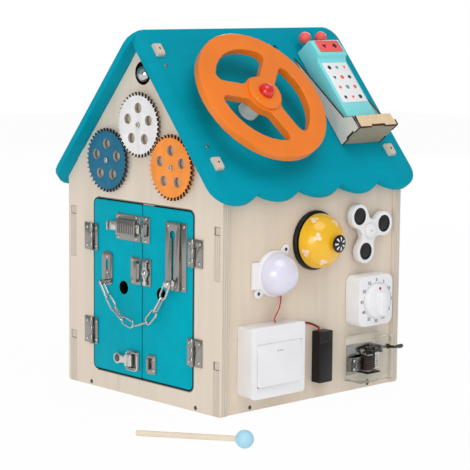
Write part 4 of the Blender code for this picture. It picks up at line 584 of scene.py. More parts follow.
def carved(obj, cutter):
    """Cuts one solid out of another."""
    apply(obj, "BOOLEAN", operation="DIFFERENCE", object=cutter)
    bpy.data.objects.remove(cutter, do_unlink=True)
    return obj


def joined(name, pieces):
    """Several pieces as one object."""
    activate(*pieces)
    bpy.ops.object.join()
    pieces[0].name = name
    return pieces[0]


def copied(obj, name):
    """A copy with its own mesh."""
    twin = obj.copy()
    twin.data = obj.data.copy()
    twin.name = name
    bpy.context.scene.collection.objects.link(twin)
    return twin


def put(obj, base):
    """Moves the shape itself to its frame, so that the object stays at the origin."""
    obj.data.transform(base)
    obj.data.update()
    return obj


def give(obj, material, body, slot, *replaced):
    """Finish, body and the solids that the piece stands for; the record slot is not used."""
    obj.data.materials.clear()
    obj.data.materials.append(material)
    activate(obj)
    bpy.ops.object.shade_smooth_by_angle(angle=SMOOTH_ANGLE)
    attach(obj, body)
    if replaced:
        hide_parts(*replaced)
    return obj


def finer(node, width, segments=2):
    """A welded copy of a solid with softened edges."""
    obj = copied(nodes[node], f"{node}_piece")
    obj.parent = None
    for key in list(obj.keys()):
        del obj[key]
    activate(obj)
    bpy.ops.object.mode_set(mode="EDIT")
    bpy.ops.mesh.select_all(action="SELECT")
    bpy.ops.mesh.remove_doubles(threshold=WELD)
    bpy.ops.mesh.dissolve_limited(angle_limit=FLAT_ANGLE)
    bpy.ops.object.mode_set(mode="OBJECT")
    return soft(obj, width, segments)


def body_of(node):
    """The body that carries a solid."""
    for body, members in frame["record"]["behaviour"]["bodies"].items():
        if node in members:
            return body
    raise ValueError(f"no body holds {node}")


def slot_of(node):
    """The record's slot of a solid."""
    for entry in frame["record"]["subparts"]:
        if entry["node"] == node:
            return entry["material_slot"]
    raise ValueError(f"no slot names {node}")


def refinish(material, *names):
    """Gives solids that keep their shape a better finish."""
    for name in names:
        nodes[name].data.materials.clear()
        nodes[name].data.materials.append(material)


def soften(material, width, *names, segments=2):
    """Replaces solids by their copies with softened edges."""
    for name in names:
        give(finer(name, width, segments), material, body_of(name), slot_of(name), name)


def traced(name, points):
    """A chain of edges drawn from point to point, left open for editing."""
    activate()
    bpy.ops.mesh.primitive_plane_add(size=WELD)
    obj = start(name)
    bpy.ops.mesh.merge(type="CENTER")
    here = Vector((0, 0, 0))
    for number, point in enumerate(points):
        there = Vector(point).to_3d()
        if number == 0:
            bpy.ops.transform.translate(value=there - here)
        else:
            bpy.ops.mesh.extrude_region_move(TRANSFORM_OT_translate={"value": there - here})
        here = there
    return obj


def spun(name, profile, sides=48):
    """A solid of revolution: (radius, height) pairs drawn and spun round the z axis."""
    obj = traced(name, [(radius, 0, height) for radius, height in profile])
    bpy.ops.mesh.select_all(action="SELECT")
    bpy.ops.mesh.spin(steps=sides, angle=math.tau, center=(0, 0, 0), axis=(0, 0, 1))
    return close(obj)


def sheet(name, outline, low, high, width=0.0, segments=2):
    """A plate drawn round its outline, filled and extruded, with softened edges."""
    obj = traced(name, [(x, y, low) for x, y in outline])
    bpy.ops.mesh.select_all(action="SELECT")
    bpy.ops.mesh.edge_face_add()
    bpy.ops.mesh.extrude_region_move(TRANSFORM_OT_translate={"value": (0, 0, high - low)})
    close(obj)
    return soft(obj, width, segments) if width else obj


def tube(name, points, radius, closed=False, rings=2):
    """A round wire along a drawn route."""
    traced(name, points)
    bpy.ops.object.mode_set(mode="OBJECT")
    bpy.ops.object.convert(target="CURVE")
    curve = bpy.context.object.data
    curve.bevel_depth = radius
    curve.bevel_resolution = rings
    curve.use_fill_caps = not closed
    curve.splines[0].use_cyclic_u = closed
    bpy.ops.object.convert(target="MESH")
    bpy.ops.object.mode_set(mode="EDIT")
    return close(bpy.context.object)


def word(text, size, thick):
    """A number as a thin solid."""
    activate()
    bpy.ops.object.text_add()
    obj = bpy.context.object
    obj.name = f"number_{text}"
    obj.data.body = text
    obj.data.size = size
    obj.data.align_x = "CENTER"
    obj.data.align_y = "CENTER"
    obj.data.extrude = thick
    obj.data.resolution_u = 4
    bpy.ops.object.convert(target="MESH")
    bpy.ops.object.mode_set(mode="EDIT")
    return close(obj)


def slab(name, low, high, width=0.0, segments=3):
    """A block between two corners with rounded edges."""
    activate()
    low = Vector(low)
    high = Vector(high)
    bpy.ops.mesh.primitive_cube_add(size=1, location=(low + high) / 2, scale=high - low)
    obj = start(name)
    if width:
        bpy.ops.mesh.bevel(offset=width, segments=segments, affect="EDGES")
    close(obj)
    bpy.ops.object.transform_apply(location=True, rotation=True, scale=True)
    return obj


def arc(x, y, radius, first, last, steps=6):
    """Points on an arc, angles in quarter turns."""
    turns = [QUARTER * (first + (last - first) * k / steps) for k in range(steps + 1)]
    return [(x + radius * math.cos(angle), y + radius * math.sin(angle)) for angle in turns]


def circle(radius, steps):
    """Points round a whole circle."""
    return arc(0, 0, radius, 0, 4, steps)[:-1]


def rounded(left, right, low, high, radius, steps=5):
    """Outline of a rectangle with round corners."""
    return (
        arc(left + radius, low + radius, radius, 2, 3, steps)
        + arc(right - radius, low + radius, radius, 3, 4, steps)
        + arc(right - radius, high - radius, radius, 0, 1, steps)
        + arc(left + radius, high - radius, radius, 1, 2, steps)
    )


def dome(radius, low, high, steps=10):
    """Profile of a domed top, from its middle to its rim."""
    rise = [QUARTER * k / steps for k in range(steps + 1)]
    return [(radius * math.sin(a), low + (high - low) * math.cos(a)) for a in rise]


def ball(radius, steps=24):
    """Profile of a ball round its origin."""
    turns = [math.pi * k / steps for k in range(steps + 1)]
    return [(radius * abs(math.sin(a)), radius * math.cos(a)) for a in turns]


def disc(name, radius, low, high, edge, sides=32):
    """A round plate with a softened upper rim."""
    profile = [(0, high), (radius - edge, high)]
    for k in range(1, 4):
        angle = math.pi / 6 * k
        profile.append((radius - edge + edge * math.sin(angle), high - edge + edge * math.cos(angle)))
    return spun(name, profile + [(radius, low), (0, low)], sides)


def screw_head(name, radius, rise):
    """A pan head with a cross recess."""
    head = spun(name, dome(radius, rise / 4, rise, 5) + [(radius, 0), (0, 0)], 20)
    long = radius * 0.62
    half = radius * 0.13
    for number, turn in enumerate((0, QUARTER)):
        blade = slab(f"blade_{number}", (-long, -half, rise * 0.45), (long, half, rise * 2))
        carved(head, put(blade, Matrix.Rotation(turn, 4, "Z")))
    return head


def several(first, name, number):
    """The first piece and its copies."""
    return [first] + [copied(first, f"{name}_{k}") for k in range(1, number)]


def screws(name, places, base, body, radius=0.0021, rise=0.0011, material=None):
    """Copies of one screw head, each turned a little differently, as one piece."""
    heads = several(screw_head(name, radius, rise), name, len(places))
    for number, (head, place) in enumerate(zip(heads, places)):
        put(head, turned_by(at(base, *place), 0.7 * number + 0.3))
    return give(joined(name, heads), material or steel("bright"), body, "steel")


def column(x, heights, out=PLATE_TOP):
    """Places of screws one above the other."""
    return [(x, height, out) for height in heights]


def slabs(name, number, low, high, step, width=0.0, segments=3):
    """A row of equal blocks, one step apart."""
    row = []
    for k in range(number):
        corners = [[place + pace * k for place, pace in zip(corner, step)] for corner in (low, high)]
        row.append(slab(f"{name}_{k}", *corners, width, segments))
    return row


def mirrored(half):
    """A whole outline from one half of it, beside the line where x is 0."""
    return half + [(-x, y) for x, y in reversed(half)]


# Stage and camera: the view of the photograph
CAMERA_PLACE = Vector((1.69444, -1.59903, 0.51052))
CAMERA_SIGHT = Vector((-0.72030, 0.68016, -0.13622))
CAMERA_ROLL = math.radians(0.56)
CAMERA_LENS = 140.37
CAMERA_SENSOR = 36.0
CAMERA_END = 20
WHITE = (1, 1, 1, 1)
FLOOR_PALE = (0.93, 0.93, 0.93, 1.0)
FLOOR_GLOW = 0.95
FLOOR_FILL = 0.45
LIGHTS_AIM = Vector((0, 0, 0.2))
# Place and width of the light that each power in the panel belongs to
LIGHTS = {
    "front_light": (Vector((1.4, -2.5, 0.5)), 1.6),
    "back_light": (Vector((-1.8, 2.4, 1.2)), 1.6),
    "top_light": (Vector((1.1, -0.3, 2.6)), 2.0),
    "glint_light": (Vector((1.9, -1.3, 1.5)), 0.25),
}


class HOUSE_OT_stage(bpy.types.Operator):
    """Pale floor, soft studio lights, white surroundings and the camera"""

    bl_idname = "house.stage"
    bl_label = "Stage"

    def execute(self, context):
        sizes = context.scene.house_sizes
        activate()
        bpy.ops.mesh.primitive_plane_add(size=sizes.floor_size)
        floor = context.object
        floor.name = "floor"
        floor.data.materials.append(floor_finish())
        self.light_world(context.scene)
        for name, (place, size) in LIGHTS.items():
            self.add_light(name, place, size, getattr(sizes, name))
        self.add_camera(context.scene)
        return {"FINISHED"}

    def light_world(self, scene):
        """White to the eye and through clear plastic, plain for light, dimmer in reflections."""
        sizes = scene.house_sizes
        world = bpy.data.worlds.new("studio")
        scene.world = world
        world.use_nodes = True
        tree = world.node_tree
        rays = tree.nodes.new("ShaderNodeLightPath").outputs
        result = self.surroundings(tree.nodes["Background"], sizes.fill_light)
        seen = {"Is Glossy Ray": sizes.mirrored_light, "Is Camera Ray": 1, "Is Transmission Ray": 1}
        for ray, strength in seen.items():
            other = self.surroundings(tree.nodes.new("ShaderNodeBackground"), strength)
            mixer = tree.nodes.new("ShaderNodeMixShader")
            for output, socket in zip((rays[ray], result, other), mixer.inputs):
                tree.links.new(output, socket)
            result = mixer.outputs["Shader"]
        tree.links.new(result, tree.nodes["World Output"].inputs["Surface"])

    def surroundings(self, background, strength):
        background.inputs["Color"].default_value = WHITE
        background.inputs["Strength"].default_value = strength
        return background.outputs["Background"]

    def add_light(self, name, place, size, power):
        data = bpy.data.lights.new(name, "AREA")
        data.shape = "DISK"
        data.size = size
        data.energy = power
        lamp = bpy.data.objects.new(name, data)
        lamp.location = place
        lamp.rotation_euler = (LIGHTS_AIM - place).to_track_quat("-Z", "Y").to_euler()
        bpy.context.scene.collection.objects.link(lamp)

    def add_camera(self, scene):
        data = bpy.data.cameras.new("camera")
        data.lens = CAMERA_LENS
        data.sensor_width = CAMERA_SENSOR
        data.sensor_fit = "HORIZONTAL"
        data.clip_end = CAMERA_END
        camera = bpy.data.objects.new("camera", data)
        level = CAMERA_SIGHT.to_track_quat("-Z", "Y").to_matrix().to_4x4()
        camera.matrix_world = turned_by(Matrix.Translation(CAMERA_PLACE) @ level, CAMERA_ROLL)
        scene.collection.objects.link(camera)
        scene.camera = camera
        scene.view_settings.view_transform = "Standard"


@once
def floor_finish(name):
    """Pale floor that reads white to the eye and in reflections, and keeps part of the object's shadow."""
    finish = Finish(name, FLOOR_PALE[:3], 0.9)
    diffuse = finish.node("ShaderNodeBsdfDiffuse")
    finish.join(FLOOR_PALE, diffuse.inputs["Color"])
    glow = finish.node("ShaderNodeEmission")
    mixer = finish.node("ShaderNodeMixShader")
    share = finish.math("MAXIMUM", finish.math("MULTIPLY", seen_directly(finish), FLOOR_GLOW), FLOOR_FILL)
    for output, socket in zip((share, diffuse.outputs["BSDF"], glow.outputs["Emission"]), mixer.inputs):
        finish.join(output, socket)
    finish.join(mixer.outputs["Shader"], finish.tree.nodes["Material Output"].inputs["Surface"])
    finish.tree.nodes.remove(finish.shader)
    return finish.material


def seen_directly(finish):
    """1 for rays from the camera, from a gloss or through glass, 0 for light on its way."""
    rays = finish.node("ShaderNodeLightPath").outputs
    direct = finish.math("MAXIMUM", rays["Is Camera Ray"], rays["Is Glossy Ray"])
    return finish.math("MAXIMUM", direct, rays["Is Transmission Ray"])


# Pieces

# Screws at the floor panel's edges: distance from the middle of the front and of the side, and height
FRONT_SCREW_SIDE = 0.099
SIDE_SCREW_SIDE = 0.104
FLOOR_SCREW_HEIGHT = 0.0045
ROOF_SCREWS = [(0.0547, -0.148, 0), (0.1736, -0.149, 0)]
# Wedges in the slots of the side walls' tabs
BACK_FACE = 2 * FACE_Y + 0.0100
WEDGE_LOWS = (0.0566, 0.2176)
WEDGE_RISE = 0.0094
WEDGE_SPAN = (0.1318, 0.1398)
WEDGE_DEPTH = 0.0092
WEDGE_SUNK = 0.0008
STOP_LOW = DOOR_TOP + 0.0001
STOP_HIGH = STOP_LOW + 0.0011
# Nails in the tenons' ends, along the roof and across it
TENON_PLACES = [(0.0328, -0.150), (0.1996, -0.150), (0.1996, 0.150), (0.0328, 0.150)]
TENON_RISE = 0.006
NAIL_RISE = 0.0002


class HOUSE_OT_panels(bpy.types.Operator):
    """Birch plywood panels, painted roof and doors, and the screws in them"""

    bl_idname = "house.panels"
    bl_label = "Panels, roof and doors"

    def execute(self, context):
        refinish(birch("front"), "front_panel")
        refinish(birch("deep"), "back_panel")
        refinish(birch("across"), "left_wall", "right_wall")
        refinish(birch("flat"), "floor_panel")
        soften(paint("roof_teal"), 0.0018, "roof_left", "roof_right")
        soften(paint("door_teal", (0, 1, 0)), 0.0004, "door_left", "door_right")
        dark = steel("dark")
        for name, reach, base in (("front", FRONT_SCREW_SIDE, FRONT), ("side", SIDE_SCREW_SIDE, SIDE)):
            places = [(side * reach, FLOOR_SCREW_HEIGHT, 0) for side in (-1, 1)]
            screws(f"{name}_floor_screws", places, base, "house", 0.0026, 0.0007, dark)
        screws("roof_screws", ROOF_SCREWS, ROOF, "house", 0.0024, 0.0008, steel("plate"))
        give(put(joined("tenon_wedges", self.wedges()), FRONT), birch("across"), "house", "birch_ply")
        stop = slab("door_stop", (0.0010, STOP_LOW, -0.0080), (0.0200, STOP_HIGH, -0.0006), 0.0002, 1)
        give(put(stop, FRONT), birch("flat"), "house", "birch_ply")
        low, high = TENON_RISE - NAIL_RISE, TENON_RISE + NAIL_RISE
        first = disc("tenon_nails", 0.0014, low, high, (high - low) / 3, 16)
        nails = several(first, "tenon_nails", len(TENON_PLACES))
        for nail, place in zip(nails, TENON_PLACES):
            put(nail, at(ROOF, *place))
        give(joined("tenon_nails", nails), dark, "house", "steel")
        return {"FINISHED"}

    def wedges(self):
        """Small blocks in the four slots of the front and of the back."""
        made = []
        for face in (0.0, BACK_FACE):
            for low in WEDGE_LOWS:
                for side in (-1, 1):
                    left, right = sorted(side * reach for reach in WEDGE_SPAN)
                    near = (left, low, face - WEDGE_DEPTH)
                    far = (right, low + WEDGE_RISE, face - WEDGE_SUNK)
                    made.append(slab(f"wedge_{len(made)}", near, far, 0.0003, 1))
        return made


HINGE_X = 0.0952
HINGE_LOWS = (0.055, 0.175)
HINGE_SCREW_RISES = (0.0055, 0.0285)
HINGE_FRAME_SIDE = 0.0105
HINGE_DOOR_SIDE = 0.0070


class HOUSE_OT_hinges(bpy.types.Operator):
    """Butt hinges of the two doors and their screws"""

    bl_idname = "house.hinges"
    bl_label = "Hinges"

    def execute(self, context):
        soften(steel("plate"), 0.0002, *[name for name in nodes if name.startswith("hinge_")])
        heights = [low + rise for low in HINGE_LOWS for rise in HINGE_SCREW_RISES]
        for side, door in ((-1, "left"), (1, "right")):
            fixed = column(side * (HINGE_X + HINGE_FRAME_SIDE), heights)
            moving = column(side * (HINGE_X - HINGE_DOOR_SIDE), heights)
            screws(f"hinge_screws_frame_{door}", fixed, FRONT, "house")
            screws(f"hinge_screws_door_{door}", moving, FRONT, f"{door}_door", 0.0019)
        return {"FINISHED"}


BOLT_SCREW_SIDES = (-0.0440, -0.0105)
BOLT_SCREW_HEIGHTS = (0.1975, 0.2235)
KEEPER_X = 0.0080
KEEPER_SCREW_HEIGHTS = (0.1968, 0.2242)


class HOUSE_OT_bolt(bpy.types.Operator):
    """Sliding bolt with a ribbed cover, and its keeper"""

    bl_idname = "house.bolt"
    bl_label = "Sliding bolt"

    def execute(self, context):
        soften(steel("plate"), 0.0004, "bolt_body", "bolt_keeper")
        soften(steel("bright"), 0.0003, "bolt_tongue")
        low, high = (-0.0395, 0.2030, 0.0068), (-0.0381, 0.2180, 0.0074)
        ribs = slabs("rib", 9, low, high, (0.0035, 0, 0), 0.0002, 1)
        give(put(joined("bolt_ribs", ribs), FRONT), steel("dark"), "left_door", "steel")
        places = [place for x in BOLT_SCREW_SIDES for place in column(x, BOLT_SCREW_HEIGHTS)]
        screws("bolt_screws", places, FRONT, "left_door", 0.0020)
        screws("keeper_screws", column(KEEPER_X, KEEPER_SCREW_HEIGHTS), FRONT, "right_door", 0.0022, 0.0014)
        return {"FINISHED"}


CHAIN_OUT = 0.0123
CHAIN_LOW = 0.0924
CHAIN_WIRE = 0.0012
CHAIN_LINKS = 4
CHAIN_FINE = 200
CHAIN_PASSING = CHAIN_WIRE - 0.0002
CHAIN_SEAM = 0.0018 + CHAIN_WIRE
LINK_FLAT = 0.0046
LINK_UPRIGHT = 0.0028
LINK_STEPS = 8
ANCHOR_X = -0.064
ANCHOR_Z = 0.1385
ANCHOR_HOOK = 2 * CHAIN_WIRE + SEAT
ANCHOR_SCREW_X = -0.0660
ANCHOR_SCREW_HEIGHTS = (0.1700, 0.1500)
TRACK_SCREW_X = 0.0780
TRACK_SCREW_HEIGHTS = (0.1480, 0.2215)
TRACK_BEND_SCREW = (0.0535, 0.2215, 0.0046)
KNOB_X = 0.0607
KNOB_Z = 0.1518
KNOB_HOOK = 0.0015 + CHAIN_WIRE + SEAT
KNOB_SEAT = CHAIN_OUT + CHAIN_WIRE + SEAT
KNOB_UNDER = CHAIN_OUT - 0.0013
KNOB_PROFILE = [
    (0, KNOB_SEAT + 0.0026), (0.0022, KNOB_SEAT + 0.0026), (0.0036, KNOB_SEAT + 0.0021),
    (0.0044, KNOB_SEAT + 0.0012), (0.0040, KNOB_SEAT + 0.0004), (0.0028, KNOB_SEAT), (0.0015, KNOB_SEAT),
    (0.0015, KNOB_UNDER), (0.0028, KNOB_UNDER), (0.0028, 0.0080), (0.0040, 0.0064), (0.0046, 0.0056),
    (0.0046, 0.0049), (0.0015, 0.0049), (0.0015, 0.0031), (0.0044, 0.0031), (0.0044, 0.0017), (0, 0.0017),
]


def hanging_points(start_x, start_z, end_x):
    """Joints between the links, evenly spaced on a curve that hangs from its start to the seam."""
    route = []
    for i in range(CHAIN_FINE + 1):
        share = i / CHAIN_FINE
        height = CHAIN_LOW + (start_z - CHAIN_LOW) * (1 - share) ** 2
        route.append(Vector((start_x + (end_x - start_x) * share, height, CHAIN_OUT)))
    lengths = [0.0]
    for before, after in zip(route, route[1:]):
        lengths.append(lengths[-1] + (after - before).length)
    joints = []
    for k in range(CHAIN_LINKS + 1):
        target = lengths[-1] * k / CHAIN_LINKS
        joints.append(route[min(range(CHAIN_FINE + 1), key=lambda i: abs(lengths[i] - target))])
    return joints


def chain_link(name, start, end, before, after, upright):
    """One smooth oval link; an upright link stands square to the door."""
    along = (end - start).normalized()
    across = Vector((0, 0, 1)) if upright else Vector((-along.y, along.x, 0))
    half = LINK_UPRIGHT if upright else LINK_FLAT
    near = start - along * (before - half)
    far = end + along * (after - half)
    points = []
    for centre, first in ((far, -1), (near, 1)):
        points += [centre + along * x + across * y for x, y in arc(0, 0, half, first, first + 2, LINK_STEPS)]
    return tube(name, points, CHAIN_WIRE, closed=True)


class HOUSE_OT_chain(bpy.types.Operator):
    """Door chain with its anchor, track and knob"""

    bl_idname = "house.chain"
    bl_label = "Door chain"

    def execute(self, context):
        left = hanging_points(ANCHOR_X, ANCHOR_Z, -CHAIN_SEAM)
        right = hanging_points(KNOB_X, KNOB_Z, CHAIN_SEAM)
        self.half("chain_left", left, ANCHOR_HOOK, True, "left_door")
        self.half("chain_right", right, KNOB_HOOK, False, "chain_slider")
        soften(steel("plate"), 0.0003, "chain_anchor", "chain_track")
        screws("anchor_screws", column(ANCHOR_SCREW_X, ANCHOR_SCREW_HEIGHTS), FRONT, "left_door", 0.0020)
        places = column(TRACK_SCREW_X, TRACK_SCREW_HEIGHTS) + [TRACK_BEND_SCREW]
        screws("track_screws", places, FRONT, "right_door", 0.0020)
        knob = put(spun("chain_knob_piece", KNOB_PROFILE, 32), at(FRONT, KNOB_X, KNOB_Z))
        give(knob, steel("bright"), "chain_slider", "steel", "chain_knob")
        return {"FINISHED"}

    def half(self, node, joints, hook, first_upright, body):
        """The links from the anchor or the knob to the seam, every other one upright."""
        links = []
        for k in range(CHAIN_LINKS):
            before = hook if k == 0 else CHAIN_PASSING
            after = CHAIN_PASSING if k < CHAIN_LINKS - 1 else 0.0
            upright = first_upright == (k % 2 == 0)
            links.append(chain_link(f"{node}_link_{k}", joints[k], joints[k + 1], before, after, upright))
        give(put(joined(f"{node}_piece", links), FRONT), steel("bright"), body, "steel", node)


LATCH_EYE_X = -0.0160
LATCH_POST_X = 0.0095
LATCH_Z = 0.158
LATCH_SCREW_HEIGHTS = (0.1445, 0.1715)
TOGGLE_Z = 0.045
TOGGLE_KEEPER_X = 0.0230
TOGGLE_SCREW_HEIGHTS = (0.0380, 0.0520)
LOOP_OUT = 0.0068
LEVER_MIDDLE = -0.0402
# Half the lever's height along its waist
LEVER_WAIST = ((-0.0300, 0.0044), (-0.0260, 0.0050), (-0.0215, 0.0074), (-0.0160, 0.0074))
BARRELS = (("lever_barrel", -0.0160, 0.0050), ("loop_barrel", -0.0225, LOOP_OUT))
BARREL_PROFILE = [
    (0, 0.0073), (0.0018, 0.0073), (0.0022, 0.0069), (0.0022, -0.0069), (0.0018, -0.0073), (0, -0.0073),
]


class HOUSE_OT_latches(bpy.types.Operator):
    """Turn latch in the middle of the doors and toggle latch at their foot"""

    bl_idname = "house.latches"
    bl_label = "Latches"

    def execute(self, context):
        soften(steel("plate"), 0.0003, "latch_base", "latch_eye", "toggle_base", "toggle_keeper")
        soften(steel("bright"), 0.0006, "latch_hook")
        profile = dome(0.0044, 0.0050, 0.0084, 6) + [(0.0044, 0.0052), (0, 0.0052)]
        cap = put(spun("latch_cap", profile, 32), at(FRONT, LATCH_POST_X, LATCH_Z))
        give(cap, chrome(), "right_door", "steel")
        for name, x, body in (("eye", LATCH_EYE_X, "left_door"), ("post", LATCH_POST_X, "right_door")):
            screws(f"latch_{name}_screws", column(x, LATCH_SCREW_HEIGHTS), FRONT, body, 0.0019)
        places = column(TOGGLE_KEEPER_X, TOGGLE_SCREW_HEIGHTS)
        screws("toggle_keeper_screws", places, FRONT, "right_door", 0.0021, 0.0013)
        self.lever()
        points = [(x, z, LOOP_OUT) for x, z in rounded(-0.0225, -0.0022, 0.0338, 0.0562, 0.0040)]
        loop = put(tube("toggle_loop_piece", points, 0.0010, closed=True), FRONT)
        give(loop, steel("bright"), "toggle_ring", "steel", "toggle_loop")
        return {"FINISHED"}

    def lever(self):
        """Waisted pull plate over its two barrels."""
        edge = arc(LEVER_MIDDLE, TOGGLE_Z, 0.0070, 0.55, 3.45, 14)
        edge += [(x, TOGGLE_Z - half) for x, half in LEVER_WAIST]
        edge += [(x, TOGGLE_Z + half) for x, half in reversed(LEVER_WAIST)]
        plate = put(sheet("lever_plate", edge, 0.0053, 0.0068, 0.0004), FRONT)
        pad = sheet("lever_pad", circle(0.0048, 20), 0.0066, 0.0072, 0.0002)
        give(put(pad, at(FRONT, LEVER_MIDDLE, TOGGLE_Z)), steel("dark"), "toggle_handle", "steel")
        down = turned_by(FRONT, QUARTER, "X")
        pieces = [plate]
        for name, x, out in BARRELS:
            pieces.append(put(spun(name, BARREL_PROFILE, 24), at(down, x, out, -TOGGLE_Z)))
        lever = joined("toggle_lever_piece", pieces)
        give(lever, steel("bright"), "toggle_handle", "steel", "toggle_lever")


GEARS = (("white", 0, 0.3390), ("blue", -0.0600, 0.2916), ("orange", 0.0600, 0.2916))
GEAR_MIDDLE = 0.006
SPINDLE_END = 0.0080
COLLAR_PROFILE = [(0, 0.0038), (0.0052, 0.0038), (0.0052, 0.0002), (0, 0.0002)]


class HOUSE_OT_gears(bpy.types.Operator):
    """Three meshing gears with scorched cut edges and painted light on the walls of their holes, and their
    spindle caps
    """

    bl_idname = "house.gears"
    bl_label = "Gears"

    def execute(self, context):
        for colour, x, z in GEARS:
            gear = f"gear_{colour}"
            soften(laser_cut(gear, (0, 1, 0), FRONT @ Vector((x, z, GEAR_MIDDLE))), 0.0005, gear)
            cap = f"spindle_cap_{colour}"
            screws(cap, [(x, z, SPINDLE_END)], FRONT, "house", 0.0034, 0.0019, steel("dark"))
            collar = put(spun(f"spindle_collar_{colour}", COLLAR_PROFILE, 24), at(FRONT, x, z))
            give(collar, steel("plate"), "house", "steel")
        return {"FINISHED"}


GABLE_MIDDLE = -0.005
JINGLE_Z = 0.4005
JINGLE_ROD_Z = 0.4129
ROD_PROFILE = [(0, 0.0148), (0.00105, 0.0148), (0.00105, -0.0148), (0, -0.0148)]


class HOUSE_OT_jingle_bell(bpy.types.Operator):
    """Small round bell hanging in the hole of the gable"""

    bl_idname = "house.jingle_bell"
    bl_label = "Jingle bell"

    def execute(self, context):
        bell = spun("jingle_ball", ball(0.0110), 40)
        carved(bell, slab("jingle_slot", (-0.02, -0.0010, -0.02), (0.02, 0.0010, -0.0050)))
        put(bell, turned_by(at(FRONT, 0, JINGLE_Z, GABLE_MIDDLE), -QUARTER, "X"))
        rod = at(FRONT, 0, JINGLE_ROD_Z, GABLE_MIDDLE)
        eye = put(tube("jingle_eye", [(0, y, z) for y, z in circle(0.0020, 16)], 0.0007, closed=True), rod)
        give(joined("jingle_bell_piece", [bell, eye]), chrome(), "bell_ball", "jingle_silver", "jingle_bell")
        pin = put(spun("jingle_rod", ROD_PROFILE, 16), turned_by(rod, QUARTER, "Y"))
        give(pin, steel("plate"), "house", "steel")
        return {"FINISHED"}


WHEEL_HUB = at(ROOF, 0.1287, -0.0584)
WHEEL_TOP = 0.0380
WHEEL_UNDER = WHEEL_TOP - 0.0110
HORN_SEAT = WHEEL_TOP + 0.0050 - 0.0062
HORN_BASE = HORN_SEAT + 0.0028
STANDOFF_PROFILE = [
    (0, HORN_SEAT - SEAT), (0.0055, HORN_SEAT - SEAT), (0.0055, WHEEL_UNDER - SEAT),
    (0.0120, WHEEL_UNDER - SEAT), (0.0127, WHEEL_UNDER - 0.0011), (0.0127, 0.0011), (0.0120, SEAT), (0, SEAT),
]


class HOUSE_OT_wheel(bpy.types.Operator):
    """Steering wheel, its stand-off and the horn button"""

    bl_idname = "house.wheel"
    bl_label = "Steering wheel"

    def execute(self, context):
        soften(plastic("wheel_orange"), 0.0032, "steering_wheel", segments=4)
        standoff = put(spun("wheel_standoff", STANDOFF_PROFILE), WHEEL_HUB)
        give(standoff, bare_wood("white_wood"), "house", "hub_wood", "wheel_hub")
        profile = dome(0.0098, WHEEL_TOP + 0.0055, WHEEL_TOP + 0.0150, 14)
        profile += [(0.0098, HORN_BASE), (0, HORN_BASE)]
        horn = put(spun("horn_piece", profile), WHEEL_HUB)
        give(horn, plastic("horn_red"), "horn", "horn_red", "horn_button")
        return {"FINISHED"}


TRAY_SIDE = 0.1076
TRAY_HALF = 0.0360
TRAY_PLY = 0.0030
TRAY_INNER = TRAY_HALF - TRAY_PLY - 0.0002
TRAY_TAB = TRAY_HALF - 0.024
LIP_STEP = TRAY_HALF - 0.0032
# A cheek from the side: along the roof and out of it
CHEEK = [
    (0.0486, SEAT), (0.1865, SEAT), (0.1865, 0.0130), (0.1835, 0.0130), (0.1835, 0.0270), (0.1865, 0.0270),
    (0.1865, 0.0400), (0.1780, 0.0400), (0.1780, 0.0372), (0.1680, 0.0372), (0.1600, 0.0240),
]
# Half of the foot board: across from its middle and out of the roof, with the notch for a cheek's tab
FOOT_HALF = [
    (TRAY_INNER, 0.0006), (TRAY_INNER, 0.0130), (TRAY_HALF, 0.0130), (TRAY_HALF, 0.0270),
    (TRAY_INNER, 0.0270), (TRAY_INNER, 0.0364), (TRAY_TAB, 0.0364), (TRAY_TAB, 0.0394),
]
# Half of the lip: across from its middle and along the roof, with the slot for the foot's tab
LIP_HALF = [
    (LIP_STEP, 0.1686), (LIP_STEP, 0.1780), (TRAY_HALF, 0.1780), (TRAY_HALF, 0.1863), (TRAY_TAB, 0.1863),
    (TRAY_TAB, 0.1832),
]
PHONE_HALF = 0.0260
# The telephone from the side: along the roof and out of it
PHONE_SIDE = [
    (0.0420, 0.0004), (0.1826, 0.0004), (0.1826, 0.0220), (0.1801, 0.0245), (0.0745, 0.0245),
    (0.0700, 0.0268), (0.0690, 0.0300), (0.0665, 0.0315), (0.0445, 0.0303), (0.0420, 0.0265),
]
STEM_PROFILE = [(0, 0.0160), (0.0025, 0.0160), (0.0032, 0.0110), (0.0025, 0.0040), (0, 0.0040)]
DISPLAY_TILT = math.atan2(0.0012, 0.0220)
# The keys' marks in reading order: colour and number of sides, 24 for a round one
KEYS = (
    ("navy", 24), ("teal_mark", 4), ("coral", 3), ("navy", 3), ("coral", 24), ("navy", 5),
    ("coral", 4), ("teal_mark", 24), ("coral", 6), ("navy", 4), ("coral", 3), ("navy", 24),
)
KEY_COLUMNS = 3
KEY_ROW_STEP = 0.0155
KEY_STEP = 0.0135


